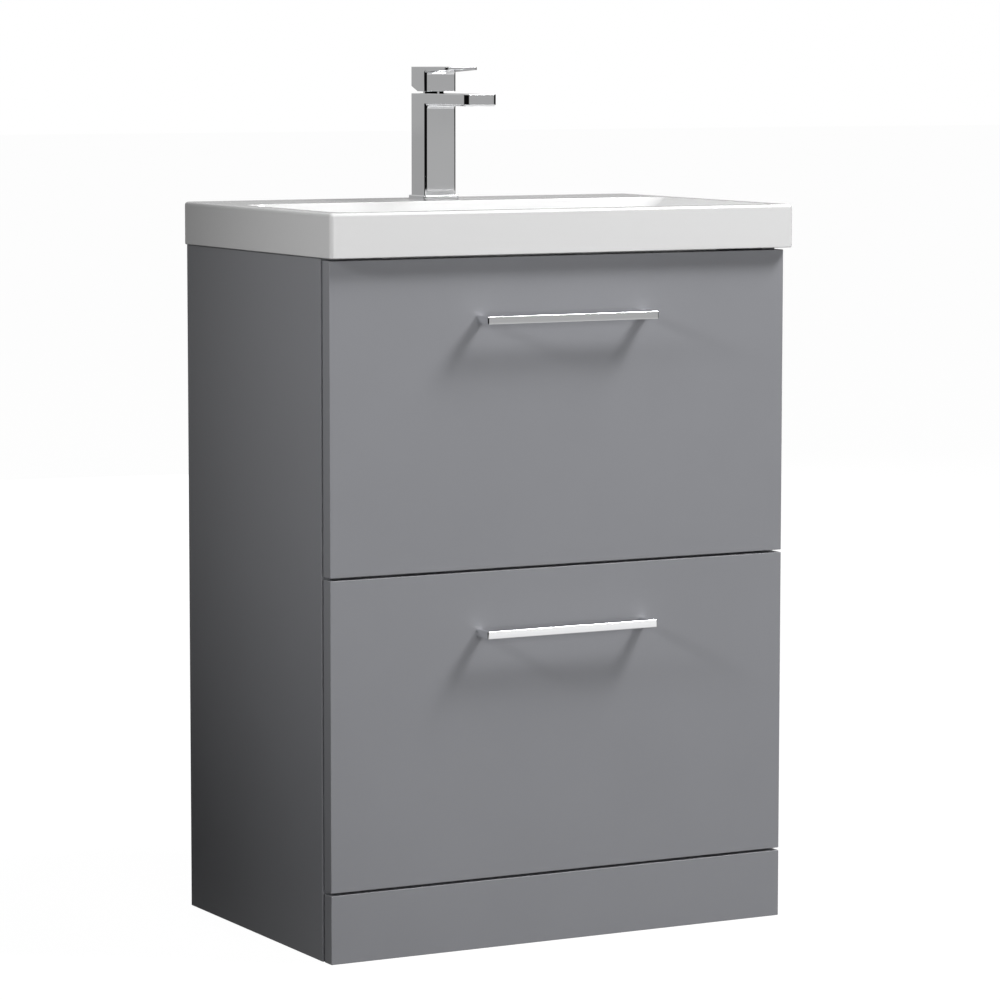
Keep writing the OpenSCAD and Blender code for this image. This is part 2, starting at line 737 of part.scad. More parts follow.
module tap_base_plate() color(bright) at_tap() difference() {
    linear_extrude(height = base_plate_t)
        round_rect(tap_w + 2 * base_plate_lip, tap_d + 2 * base_plate_lip, tap_edge_r);
    translate([0, 0, -eps]) cylinder(r = shank_r + shank_clearance, h = base_plate_t + 2 * eps);
}

// Rounds the inner corner between the tap's front face and an underside at height z
module cove(z, r) difference() {
    translate([-tap_w / 2 + tap_edge_r, -tap_d / 2 - r, z - r])
        cube([tap_w - 2 * tap_edge_r, r + tap_edge_r, r + 1]);
    rod_x(-tap_w, tap_w, r, -tap_d / 2 - r, z - r);
}

// The column and spout, one casting, bored for the shank, the cartridge and the water
module tap_body() color(bright) at_tap() difference() {
    union() {
        translate([0, 0, base_plate_t]) linear_extrude(height = tap_column_h - base_plate_t)
            round_rect(tap_w, tap_d, tap_edge_r);
        intersection() {
            translate([0, -spout_reach, tap_column_h - spout_t]) linear_extrude(height = spout_t)
                translate([0, (spout_reach + tap_d / 2 - spout_corner_r) / 2])
                    round_rect(tap_w, spout_reach + tap_d / 2 - spout_corner_r, spout_corner_r);
            // The spout's lower edges are bevelled
            translate([0, -spout_reach / 2, 0]) along_y(2 * spout_reach) polygon([
                [-tap_w / 2, tap_column_h], [-tap_w / 2, tap_column_h - spout_t + spout_chamfer],
                [-tap_w / 2 + spout_chamfer, tap_column_h - spout_t],
                [tap_w / 2 - spout_chamfer, tap_column_h - spout_t],
                [tap_w / 2, tap_column_h - spout_t + spout_chamfer], [tap_w / 2, tap_column_h]
            ]);
        }
        cove(tap_column_h - spout_t, spout_cove_r);
    }
    translate([0, 0, base_plate_t - eps])
        cylinder(r = shank_r + shank_clearance, h = shank_top - base_plate_t + eps);
    translate([0, 0, cartridge_low])
        cylinder(r = cartridge_r + cartridge_clearance, h = tap_column_h - cartridge_low + eps);
    translate([0, 0, tap_column_h - nut_hole_depth]) cylinder(r = nut_hole_r, h = nut_hole_depth + eps);
    // Risers from the shank, and the waterway along the spout
    for (x = [-inlet_x, inlet_x])
        translate([x, 0, shank_top - eps]) cylinder(r = waterway_r, h = cartridge_low - shank_top + 2 * eps);
    rod_y(aerator_y, -cartridge_r, waterway_r, 0, tap_column_h - spout_t / 2);
    translate([0, aerator_y, tap_column_h - spout_t - eps])
        cylinder(r = aerator_r + fitting_clearance, h = aerator_t + 1 + eps);
}

module tap_shank() color(yellow_brass) at_tap() difference() {
    translate([0, 0, shank_low]) cylinder(r = shank_r, h = shank_top - shank_low);
    for (x = [-inlet_x, inlet_x]) translate([x, inlet_y, shank_low - eps]) {
        cylinder(r = inlet_r, h = inlet_len + eps);
        cylinder(r = waterway_r - 1, h = shank_top - shank_low + 2 * eps);
    }
    translate([0, stud_y, shank_low - eps]) cylinder(r = stud_r + fitting_clearance, h = stud_in_shank + eps);
}

module tap_aerator() color(bright) at_tap() translate([0, aerator_y, tap_column_h - spout_t]) {
    difference() {
        cylinder(r = aerator_r, h = aerator_t);
        translate([0, 0, -eps]) cylinder(r = aerator_r - 2, h = 2 + eps);
    }
}

module mixer_cartridge() color(clear_pad) at_tap() difference() {
    translate([0, 0, cartridge_low]) cylinder(r = cartridge_r, h = cartridge_top - cartridge_low);
    translate([0, 0, carrier_low - 8]) cylinder(r = spindle - 1, h = 20);
}

// Holds the cartridge down; its neck stands above the column, into the lever's hollow
module cartridge_nut() color(bright) at_tap() translate([0, 0, cartridge_top]) difference() {
    union() {
        cylinder(r = nut_hole_r - thread_fit, h = tap_column_h - cartridge_top - 0.5);
        cylinder(r = neck_r, h = tap_column_h - cartridge_top + neck_rise);
    }
    translate([0, 0, -eps]) cylinder(r = nut_bore_r, h = tap_column_h - cartridge_top + neck_rise + 2 * eps);
}

// The part of the cartridge that turns with the lever; the spindle tips in its slot
module cartridge_carrier() color(clear_pad) at_tap() difference() {
    translate([0, 0, cartridge_top + carrier_clearance])
        cylinder(r = carrier_r, h = carrier_top - cartridge_top - carrier_clearance);
    translate([-spindle / 2 - carrier_clearance, -8, 0])
        cube([spindle + 2 * carrier_clearance, 16, tap_column_h]);
    rod_x(-carrier_r - eps, carrier_r + eps, pin_r, 0, pivot_z);
}

module spindle_pin() color(zinc) at_tap() rod_x(-carrier_r + 1, carrier_r - 1, pin_r, 0, pivot_z);

module cartridge_spindle() color(zinc) at_tap() difference() {
    translate([-spindle / 2, -spindle / 2, spindle_low]) cube([spindle, spindle, spindle_top - spindle_low]);
    rod_x(-spindle, spindle, pin_r + pin_fit, 0, pivot_z);
}

// The lever's block, hollow over the neck and bored for the spindle, and its thin plate,
// which tapers to the tip
module mixer_lever() color(bright) at_tap() difference() {
    union() {
        intersection() {
            linear_extrude(height = z_lever_top) translate([0, (tap_d / 2 - lever_reach) / 2])
                round_rect(tap_w, lever_reach + tap_d / 2, tap_edge_r);
            along_x(tap_w) polygon([
                [tap_d / 2, z_lever_top], [-lever_reach, z_lever_top],
                [-lever_reach, z_lever_top - lever_tip_t], [-tap_d / 2, z_lever_top - lever_plate_t],
                [-tap_d / 2, z_lever], [tap_d / 2 - lever_chamfer_run, z_lever],
                [tap_d / 2, z_lever + lever_chamfer_rise]
            ]);
        }
        cove(z_lever_top - lever_plate_t, lever_cove_r);
    }
    translate([0, 0, z_lever - eps]) cylinder(r = lever_hollow_r, h = lever_hollow_h + eps);
    translate([-spindle / 2 - spindle_fit, -spindle / 2 - spindle_fit, z_lever - eps])
        cube([spindle + 2 * spindle_fit, spindle + 2 * spindle_fit, spindle_top - z_lever + spindle_fit + eps]);
    rod_y(0, tap_d / 2 + eps, grub_r + fitting_clearance, 0, z_lever + lever_block_h / 2);
}

module lever_grub_screw() color(zinc) at_tap() difference() {
    rod_y(spindle / 2, spindle / 2 + grub_len, grub_r, 0, z_lever + lever_block_h / 2);
    rod_y(spindle / 2 + grub_len - 2, spindle / 2 + grub_len + eps, 1.3, 0,
          z_lever + lever_block_h / 2, $fn = 6);
}

module tap_stud() color(zinc) at_tap()
    translate([0, stud_y, stud_low]) cylinder(r = stud_r, h = shank_low + stud_in_shank - stud_low);

// A crescent that clamps the tap under the deck, open at the front for the tails
module clamp_crescent(t) linear_extrude(height = t) difference() {
    circle(clamp_r);
    translate([0, -clamp_r / 2]) square([2 * (inlet_x + inlet_r + 2), clamp_r + 9], center = true);
    translate([0, stud_y]) circle(stud_r + 0.3);
}

module tap_clamp_pad() color(black_rubber) at_tap()
    translate([0, 0, -deck_t - clamp_pad_t]) clamp_crescent(clamp_pad_t);
module tap_clamp_plate() color(zinc) at_tap()
    translate([0, 0, -deck_t - clamp_pad_t - clamp_plate_t]) clamp_crescent(clamp_plate_t);

module tap_stud_nut() color(yellow_brass) at_tap()
    translate([0, stud_y, -deck_t - clamp_pad_t - clamp_plate_t - stud_nut_h]) difference() {
        cylinder(r = stud_nut_r, h = stud_nut_h, $fn = 6);
        translate([0, 0, -eps]) cylinder(r = stud_r + fitting_clearance, h = stud_nut_h + 2 * eps);
    }

left_side_panel();
right_side_panel();
base_panel();
mid_front_rail();
top_back_rail();
lower_back_rail();
plinth_panel();
plinth_blocks();
cam_locks();
cam_bolts();
wall_brackets();
panel_screws();
front_bumpers();
upper_left_cabinet_rail();
upper_right_cabinet_rail();
lower_left_cabinet_rail();
lower_right_cabinet_rail();
basin();
overflow_ring();
waste_body();
waste_washer();
waste_nut();
waste_plug();
plug_seal();
tap_base_plate();
tap_body();
tap_shank();
tap_aerator();
mixer_cartridge();
cartridge_nut();
tap_stud();
tap_clamp_pad();
tap_clamp_plate();
tap_stud_nut();
cartridge_carrier();
spindle_pin();
mixer_lever();
cartridge_spindle();
lever_grub_screw();
upper_drawer_front();
upper_handle();
upper_handle_screws();
upper_box_left_side();
upper_box_right_side();
upper_box_backs();
upper_recess_walls();
upper_box_base();
upper_left_drawer_rail();
upper_right_drawer_rail();
lower_drawer_front();
lower_handle();
lower_handle_screws();
lower_box_left_side();
lower_box_right_side();
lower_box_back();
lower_box_base();
lower_left_drawer_rail();
lower_right_drawer_rail();
upper_middle_rails();
lower_middle_rails();
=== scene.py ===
"""Looks of a floor-standing vanity cabinet with two drawers, a ceramic basin and a single-lever mixer tap.

Every length is in metres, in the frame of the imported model: +Z up, the drawers face -Y.
"""
import logging
import math
from dataclasses import dataclass
from enum import Enum
from typing import Callable, Sequence

import bmesh
import bpy
from mathutils import Matrix, Vector


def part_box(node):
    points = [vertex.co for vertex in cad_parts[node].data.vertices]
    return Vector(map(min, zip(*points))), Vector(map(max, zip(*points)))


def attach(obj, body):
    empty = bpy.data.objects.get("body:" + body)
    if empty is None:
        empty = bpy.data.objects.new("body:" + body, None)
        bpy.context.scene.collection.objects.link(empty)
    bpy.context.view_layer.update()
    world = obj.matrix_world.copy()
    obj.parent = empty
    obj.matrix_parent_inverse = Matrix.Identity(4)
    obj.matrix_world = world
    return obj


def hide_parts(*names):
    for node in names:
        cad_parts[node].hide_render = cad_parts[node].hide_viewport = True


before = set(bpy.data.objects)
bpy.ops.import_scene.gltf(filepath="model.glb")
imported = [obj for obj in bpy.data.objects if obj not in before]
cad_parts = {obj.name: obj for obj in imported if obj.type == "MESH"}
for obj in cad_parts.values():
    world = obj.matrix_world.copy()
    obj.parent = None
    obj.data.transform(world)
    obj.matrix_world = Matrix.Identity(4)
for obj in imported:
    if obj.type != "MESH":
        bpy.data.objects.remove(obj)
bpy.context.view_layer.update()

LOG = logging.getLogger("vanity")
MM = 0.001
TOUCH = 0.02 * MM

Colour = tuple[float, float, float]
Triple = tuple[float, float, float]
Stops = Sequence[tuple[float, float]]
FaceTest = Callable[[Vector, Vector], bool]
EdgeTest = Callable[[Vector, Vector], bool]
Tree = bpy.types.NodeTree
Socket = bpy.types.NodeSocket


class Pattern(Enum):
    """How a finish varies over its surface."""

    PEEL = "peel"
    POLISH = "polish"
    BRUSH = "brush"
    BOARD = "board"
    CAST = "cast"


# --- Shader groups ---


def new_group(name: str, inputs: Sequence[tuple[str, str, object]],
              outputs: Sequence[tuple[str, str]]) -> tuple[Tree, bpy.types.Node, bpy.types.Node]:
    """Starts a shader node group with its sockets.

    Args:
        name: the group's name.
        inputs: each socket's name, type and default value.
        outputs: each socket's name and type.

    Returns:
        The group's tree, its input node and its output node.
    """
    tree = bpy.data.node_groups.new(name, "ShaderNodeTree")
    for label, kind, value in inputs:
        socket = tree.interface.new_socket(name=label, in_out="INPUT", socket_type=kind)
        socket.default_value = value
    for label, kind in outputs:
        tree.interface.new_socket(name=label, in_out="OUTPUT", socket_type=kind)
    return tree, tree.nodes.new("NodeGroupInput"), tree.nodes.new("NodeGroupOutput")


def add_math(tree: Tree, operation: str, first: object, second: object) -> Socket:
    """Adds a math node on two values or sockets.

    Args:
        tree: the tree to add to.
        operation: the math node's operation.
        first: a number or a socket.
        second: a number or a socket.

    Returns:
        The node's output socket.
    """
    node = tree.nodes.new("ShaderNodeMath")
    node.operation = operation
    for place, value in enumerate((first, second)):
        if isinstance(value, (int, float)):
            node.inputs[place].default_value = value
        else:
            tree.links.new(value, node.inputs[place])
    return node.outputs[0]


class ShaderKit:
    """The shader groups that the finishes share, each built once."""

    def __init__(self) -> None:
        """Builds the groups."""
        self.clouds = self._build_clouds()
        self.strokes = self._build_strokes()
        self.weave = self._build_weave()
        self.tint = self._build_tint()

    @staticmethod
    def _build_clouds() -> Tree:
        """Soft irregular noise between 0 and 1, finer with a larger Scale.

        Returns:
            The group's tree.
        """
        tree, start, end = new_group(
            "soft_clouds",
            [("Vector", "NodeSocketVector", (0, 0, 0)), ("Scale", "NodeSocketFloat", 30.0),
             ("Detail", "NodeSocketFloat", 3.0)],
            [("Value", "NodeSocketFloat")],
        )
        noise = tree.nodes.new("ShaderNodeTexNoise")
        noise.inputs["Roughness"].default_value = 0.55
        tree.links.new(start.outputs["Vector"], noise.inputs["Vector"])
        tree.links.new(start.outputs["Scale"], noise.inputs["Scale"])
        tree.links.new(start.outputs["Detail"], noise.inputs["Detail"])
        spread = tree.nodes.new("ShaderNodeMapRange")
        spread.inputs["From Min"].default_value = 0.3
        spread.inputs["From Max"].default_value = 0.7
        tree.links.new(noise.outputs[0], spread.inputs["Value"])
        tree.links.new(spread.outputs[0], end.inputs["Value"])
        return tree

    @staticmethod
    def _build_strokes() -> Tree:
        """Fine parallel strokes, as a brush or a rolling mill leaves.

        Returns:
            The group's tree.
        """
        tree, start, end = new_group(
            "fine_strokes",
            [("Vector", "NodeSocketVector", (0, 0, 0)), ("Stretch", "NodeSocketVector", (1, 1, 1)),
             ("Scale", "NodeSocketFloat", 400.0)],
            [("Value", "NodeSocketFloat")],
        )
        squeeze = tree.nodes.new("ShaderNodeVectorMath")
        squeeze.operation = "MULTIPLY"
        tree.links.new(start.outputs["Vector"], squeeze.inputs[0])
        tree.links.new(start.outputs["Stretch"], squeeze.inputs[1])
        noise = tree.nodes.new("ShaderNodeTexNoise")
        noise.inputs["Detail"].default_value = 2.0
        tree.links.new(squeeze.outputs[0], noise.inputs["Vector"])
        tree.links.new(start.outputs["Scale"], noise.inputs["Scale"])
        tree.links.new(noise.outputs[0], end.inputs["Value"])
        return tree

    @staticmethod
    def _build_weave() -> Tree:
        """The pressed linen texture of a faced board: two crossed sets of threads.

        Returns:
            The group's tree.
        """
        tree, start, end = new_group(
            "pressed_linen",
            [("Vector", "NodeSocketVector", (0, 0, 0)), ("Scale", "NodeSocketFloat", 260.0)],
            [("Value", "NodeSocketFloat")],
        )
        total = None
        for axis in ("X", "Y", "Z"):
            wave = tree.nodes.new("ShaderNodeTexWave")
            wave.bands_direction = axis
            wave.inputs["Distortion"].default_value = 3.0
            wave.inputs["Detail"].default_value = 1.0
            tree.links.new(start.outputs["Vector"], wave.inputs["Vector"])
            tree.links.new(start.outputs["Scale"], wave.inputs["Scale"])
            thread = wave.outputs["Fac"]
            total = thread if total is None else add_math(tree, "ADD", total, thread)
        tree.links.new(add_math(tree, "DIVIDE", total, 3.0), end.inputs["Value"])
        return tree

    @staticmethod
    def _build_tint() -> Tree:
        """Moves a colour a little lighter or darker by a mask.

        Returns:
            The group's tree.
        """
        tree, start, end = new_group(
            "uneven_tone",
            [("Colour", "NodeSocketColor", (0.5, 0.5, 0.5, 1)), ("Mask", "NodeSocketFloat", 0.5),
             ("Amount", "NodeSocketFloat", 0.05)],
            [("Colour", "NodeSocketColor")],
        )
        shift = add_math(tree, "SUBTRACT", start.outputs["Mask"], 0.5)
        gain = add_math(tree, "ADD", add_math(tree, "MULTIPLY", shift, start.outputs["Amount"]), 1.0)
        scale = tree.nodes.new("ShaderNodeVectorMath")
        scale.operation = "SCALE"
        tree.links.new(start.outputs["Colour"], scale.inputs[0])
        tree.links.new(gain, scale.inputs["Scale"])
        tree.links.new(scale.outputs[0], end.inputs["Colour"])
        return tree


@dataclass(frozen=True)
class Finish:
    """One finish: its colour, its gloss and how both vary over the surface."""

    name: str
    slot: str
    colour: Colour
    pattern: Pattern
    roughness: float
    roughness_spread: float = 0.06
    metallic: float = 0.0
    coat: float = 0.0
    coat_roughness: float = 0.05
    specular: float = 0.5
    tone: float = 0.05
    patch_scale: float = 9.0
    relief_scale: float = 900.0
    relief: float = 0.02
    relief_depth: float = 0.05 * MM
    stretch: Triple = (1.0, 1.0, 1.0)

    def build(self, kit: ShaderKit) -> bpy.types.Material:
        """Builds the finish's node material.

        Args:
            kit: the shared shader groups.

        Returns:
            The material.
        """
        material = bpy.data.materials.new(self.name)
        material.use_nodes = True
        tree = material.node_tree
        shader = tree.nodes["Principled BSDF"]
        shader.inputs["Metallic"].default_value = self.metallic
        shader.inputs["Coat Weight"].default_value = self.coat
        shader.inputs["Coat Roughness"].default_value = self.coat_roughness
        shader.inputs["Specular IOR Level"].default_value = self.specular
        place = tree.nodes.new("ShaderNodeTexCoord").outputs["Object"]
        patches = self._group(tree, kit.clouds, {"Vector": place, "Scale": self.patch_scale, "Detail": 4.0})
        texture = self._texture(tree, kit, place)
        tone = self._group(tree, kit.tint, {"Colour": (*self.colour, 1.0), "Mask": patches,
                                            "Amount": self.tone})
        tree.links.new(tone, shader.inputs["Base Color"])
        gloss = tree.nodes.new("ShaderNodeMapRange")
        gloss.inputs["To Min"].default_value = max(0.0, self.roughness - self.roughness_spread / 2)
        gloss.inputs["To Max"].default_value = self.roughness + self.roughness_spread / 2
        tree.links.new(patches if texture is None else texture, gloss.inputs["Value"])
        tree.links.new(gloss.outputs[0], shader.inputs["Roughness"])
        bump = tree.nodes.new("ShaderNodeBump")
        bump.inputs["Strength"].default_value = self.relief
        bump.inputs["Distance"].default_value = self.relief_depth
        if texture is None:
            texture = self._group(tree, kit.clouds, {"Vector": place, "Scale": self.relief_scale,
                                                     "Detail": 2.0})
        tree.links.new(texture, bump.inputs["Height"])
        tree.links.new(bump.outputs[0], shader.inputs["Normal"])
        return material

    @staticmethod
    def _group(tree: Tree, group: Tree, values: dict[str, object]) -> Socket:
        """Places a shared group in the material.

        Args:
            tree: the material's tree.
            group: the shared group.
            values: an input's name to its number, colour or socket.

        Returns:
            The group's first output.
        """
        node = tree.nodes.new("ShaderNodeGroup")
        node.node_tree = group
        for label, value in values.items():
            if isinstance(value, Socket):
                tree.links.new(value, node.inputs[label])
            else:
                node.inputs[label].default_value = value
        return node.outputs[0]

    def _texture(self, tree: Tree, kit: ShaderKit, place: Socket) -> Socket | None:
        """The strokes or the weave of a finish that has them.

        Args:
            tree: the material's tree.
            kit: the shared groups.
            place: the coordinate socket.

        Returns:
            The texture's socket, or None for a finish without one.
        """
        values = {"Vector": place, "Scale": self.relief_scale}
        if self.pattern is Pattern.BRUSH:
            return self._group(tree, kit.strokes, {**values, "Stretch": self.stretch})
        if self.pattern is Pattern.BOARD:
            return self._group(tree, kit.weave, values)
        return None


LACQUER = Finish("satin_grey_lacquer", "lacquer", (0.285, 0.289, 0.308), Pattern.PEEL, 0.40, 0.05,
                 specular=0.34, tone=0.03, relief_scale=700, relief=0.08)
CARCASS_BOARD = Finish("grey_carcass_board", "lacquer", (0.27, 0.274, 0.29), Pattern.BOARD, 0.5, 0.08,
                       tone=0.04, relief_scale=240, relief=0.2)
BOX_BOARD = Finish("linen_box_board", "box_board", (0.50, 0.50, 0.49), Pattern.BOARD, 0.48, 0.12,
                   tone=0.05, relief_scale=260, relief=0.35)
ZINC = Finish("bright_zinc", "zinc_steel", (0.62, 0.63, 0.65), Pattern.BRUSH, 0.34, 0.16, metallic=1.0,
              tone=0.10, patch_scale=60, relief_scale=500, relief=0.15, stretch=(1.0, 0.05, 1.0))
GLAZE = Finish("white_glaze", "glaze", (0.79, 0.79, 0.79), Pattern.CAST, 0.16, 0.04, coat=0.6,
               coat_roughness=0.03, tone=0.015, patch_scale=5, relief_scale=14, relief=0.12,
               relief_depth=0.3 * MM)
CHROME = Finish("polished_chrome", "chrome", (0.86, 0.865, 0.875), Pattern.POLISH, 0.045, 0.03, metallic=1.0,
                tone=0.01, patch_scale=40, relief_scale=300, relief=0.01)
BRASS = Finish("turned_brass", "brass", (0.72, 0.52, 0.22), Pattern.BRUSH, 0.3, 0.12, metallic=1.0,
               tone=0.08, relief_scale=700, relief=0.1, stretch=(0.05, 0.05, 1.0))
RUBBER = Finish("black_rubber", "rubber", (0.025, 0.025, 0.026), Pattern.CAST, 0.6, 0.15, tone=0.2,
                relief_scale=900, relief=0.3)
PLASTIC = Finish("moulded_plastic", "white_plastic", (0.72, 0.72, 0.70), Pattern.CAST, 0.42, 0.12, tone=0.05,
                 relief_scale=800, relief=0.2)
FINISHES = (LACQUER, CARCASS_BOARD, BOX_BOARD, ZINC, GLAZE, CHROME, BRASS, RUBBER, PLASTIC)


# --- Modelling helpers ---


def clear_bench() -> None:
    """Leaves edit mode and deselects everything."""
    if bpy.context.mode != "OBJECT":
        bpy.ops.object.mode_set(mode="OBJECT")
    bpy.ops.object.select_all(action="DESELECT")


def only(piece: bpy.types.Object) -> None:
    """Makes a piece the only selected and active object.

    Args:
        piece: the piece.
    """
    clear_bench()
    piece.select_set(True)
    bpy.context.view_layer.objects.active = piece


class Shaper:
    """One piece on the bench: a primitive that edit-mode operators shape."""

    def __init__(self, name: str) -> None:
        """Takes the active object as the piece.

        Args:
            name: the piece's name.
        """
        self.piece = bpy.context.active_object
        self.piece.name = name
        self.piece.data.name = name
        bpy.ops.object.transform_apply(location=True, rotation=True, scale=True)
        bpy.ops.object.mode_set(mode="EDIT")
        bpy.ops.mesh.select_mode(type="FACE")
        bpy.ops.mesh.select_all(action="DESELECT")

    @classmethod
    def block(cls, name: str, low: Sequence[float], high: Sequence[float]) -> "Shaper":
        """Starts from a cube that fills a box.

        Args:
            name: the piece's name.
            low: the box's lowest corner.
            high: the box's highest corner.

        Returns:
            The shaper.
        """
        clear_bench()
        middle = [(a + b) / 2 for a, b in zip(low, high)]
        size = [b - a for a, b in zip(low, high)]
        bpy.ops.mesh.primitive_cube_add(size=1, location=middle, scale=size)
        return cls(name)

    @classmethod
    def rod(cls, name: str, middle: Sequence[float], radius: float, length: float, sides: int = 64,
            turn: Triple = (0.0, 0.0, 0.0)) -> "Shaper":
        """Starts from a cylinder.

        Args:
            name: the piece's name.
            middle: the cylinder's middle.
            radius: its radius.
            length: its length.
            sides: how many sides its circle has.
            turn: its rotation in radians about X, Y and Z.

        Returns:
            The shaper.
        """
        clear_bench()
        bpy.ops.mesh.primitive_cylinder_add(vertices=sides, radius=radius, depth=length, location=middle,
                                            rotation=turn)
        return cls(name)

    @classmethod
    def copy_of(cls, node: str, name: str) -> "Shaper":
        """Starts from a merged copy of a CAD node.

        Args:
            node: the CAD node.
            name: the new piece's name.

        Returns:
            The shaper.
        """
        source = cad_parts[node]
        piece = bpy.data.objects.new(name, source.data.copy())
        piece.data.materials.clear()
        bpy.context.scene.collection.objects.link(piece)
        piece.data.transform(source.matrix_world)
        only(piece)
        shaper = cls(name)
        bpy.ops.mesh.select_all(action="SELECT")
        bpy.ops.mesh.remove_doubles(threshold=0.002 * MM)
        bpy.ops.mesh.select_all(action="DESELECT")
        return shaper

    def pick(self, test: FaceTest) -> "Shaper":
        """Selects the faces that pass a test, and nothing else.

        Args:
            test: a test of a face's centre and normal.

        Returns:
            The shaper.
        """
        bpy.ops.mesh.select_mode(type="FACE")
        bpy.ops.mesh.select_all(action="DESELECT")
        mesh = bmesh.from_edit_mesh(self.piece.data)
        mesh.normal_update()
        for face in mesh.faces:
            face.select_set(test(face.calc_center_median(), face.normal))
        bmesh.update_edit_mesh(self.piece.data)
        return self

    def pick_edges(self, test: EdgeTest) -> "Shaper":
        """Selects the edges that pass a test, and nothing else.

        Args:
            test: a test of an edge's two ends.

        Returns:
            The shaper.
        """
        bpy.ops.mesh.select_mode(type="EDGE")
        bpy.ops.mesh.select_all(action="DESELECT")
        mesh = bmesh.from_edit_mesh(self.piece.data)
        for edge in mesh.edges:
            edge.select_set(test(edge.verts[0].co, edge.verts[1].co))
        bmesh.update_edit_mesh(self.piece.data)
        return self

    def pick_sharp(self, angle: float = 0.5, also: EdgeTest = lambda a, b: True) -> "Shaper":
        """Selects the edges that turn by more than an angle and pass a test.

        Args:
            angle: the angle in radians.
            also: a test of an edge's two ends.

        Returns:
            The shaper.
        """
        bpy.ops.mesh.select_mode(type="EDGE")
        bpy.ops.mesh.select_all(action="DESELECT")
        mesh = bmesh.from_edit_mesh(self.piece.data)
        mesh.normal_update()
        for edge in mesh.edges:
            sharp = len(edge.link_faces) == 2 and edge.calc_face_angle(0.0) > angle
            edge.select_set(sharp and also(edge.verts[0].co, edge.verts[1].co))
        bmesh.update_edit_mesh(self.piece.data)
        return self

    def slice(self, point: Triple, normal: Triple) -> "Shaper":
        """Cuts the whole piece along a plane, and keeps both sides.

        Args:
            point: a point of the plane.
            normal: the plane's normal.

        Returns:
            The shaper.
        """
        bpy.ops.mesh.select_all(action="SELECT")
        bpy.ops.mesh.bisect(plane_co=point, plane_no=normal)
        bpy.ops.mesh.select_all(action="DESELECT")
        return self

    def extrude(self, move: Triple) -> "Shaper":
        """Extrudes the selected faces by a move."""
        bpy.ops.mesh.extrude_region_move(TRANSFORM_OT_translate={"value": move})
        return self

    def move(self, move: Triple) -> "Shaper":
        """Moves what is selected."""
        bpy.ops.transform.translate(value=move)
        return self

    def resize(self, scale: Triple, centre: Triple) -> "Shaper":
        """Scales what is selected about a point."""
        bpy.ops.transform.resize(value=scale, center_override=centre)
        return self

    def inset(self, width: float, depth: float = 0.0) -> "Shaper":
        """Insets the selected faces."""
        bpy.ops.mesh.inset(thickness=width, depth=depth)
        return self

    def bevel(self, width: float, segments: int = 3, clamp: bool = True) -> "Shaper":
        """Rounds the selected edges, or cuts them flat with one segment."""
        bpy.ops.mesh.bevel(offset=width, segments=segments, affect="EDGES", clamp_overlap=clamp)
        return self

    def cut(self, *tools: bpy.types.Object, keep: bool = False) -> "Shaper":
        """Takes other shapes out of the piece, or joins them to it.

        Args:
            tools: the other shapes, which are used up.
            keep: whether they are joined.

        Returns:
            The shaper.
        """
        clear_bench()
        for tool in tools:
            only(self.piece)
            trim = self.piece.modifiers.new("trim", "BOOLEAN")
            trim.operation = "UNION" if keep else "DIFFERENCE"
            trim.solver = "EXACT"
            trim.object = tool
            bpy.ops.object.modifier_apply(modifier=trim.name)
            bpy.data.objects.remove(tool, do_unlink=True)
        only(self.piece)
        bpy.ops.object.mode_set(mode="EDIT")
        bpy.ops.mesh.select_all(action="DESELECT")
        return self

    def shape(self) -> bpy.types.Object:
        """Leaves edit mode and hands over the bare shape, to cut or join with."""
        clear_bench()
        return self.piece

    def done(self, smooth_angle: float = 35.0, arris: float = 0.0,
             arris_segments: int = 2) -> bpy.types.Object:
        """Leaves edit mode and shades the piece smooth, sharp past an angle.

        Args:
            smooth_angle: the angle in degrees past which an edge stays sharp.
            arris: the width of a bevel on every sharp edge, or 0.
            arris_segments: the segments of that bevel.

        Returns:
            The finished piece.
        """
        only(self.piece)
        if arris:
            ease = self.piece.modifiers.new("ease", "BEVEL")
            ease.width = arris
            ease.segments = arris_segments
            ease.limit_method = "ANGLE"
            ease.angle_limit = math.radians(smooth_angle)
            ease.harden_normals = False
            bpy.ops.object.modifier_apply(modifier=ease.name)
        bpy.ops.object.shade_smooth_by_angle(angle=math.radians(smooth_angle))
        even = self.piece.modifiers.new("even", "WEIGHTED_NORMAL")
        even.keep_sharp = True
        bpy.ops.object.modifier_apply(modifier=even.name)
        return self.piece


@dataclass
class Workshop:
    """Hands out materials and settles finished pieces on their bodies."""

    materials: dict[str, bpy.types.Material]

    def settle(self, piece: bpy.types.Object, finish: Finish, body: str, *nodes: str) -> bpy.types.Object:
        """Dresses a finished piece and fixes it to its body.

        Args:
            piece: the finished piece.
            finish: its finish.
            body: the body that it rides on.
            nodes: the CAD nodes that it stands for.

        Returns:
            The piece.
        """
        piece.data.materials.clear()
        piece.data.materials.append(self.materials[finish.name])
        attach(piece, body)
        if nodes:
            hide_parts(*nodes)
        LOG.info("%s: %d faces on %s", piece.name, len(piece.data.polygons), body)
        return piece

    def refine(self, node: str, finish: Finish, body: str, arris: float = 0.0,
               smooth_angle: float = 30.0) -> bpy.types.Object:
        """Makes a merged, eased and smooth copy of a CAD node stand for it.

        Args:
            node: the CAD node.
            finish: the copy's finish.
            body: the body that it rides on.
            arris: the width of the bevel on its sharp edges.
            smooth_angle: the angle past which an edge stays sharp.

        Returns:
            The piece.
        """
        shaper = Shaper.copy_of(node, node + "_made")
        return self.settle(shaper.done(smooth_angle, arris), finish, body, node)


# --- Sub-assemblies ---

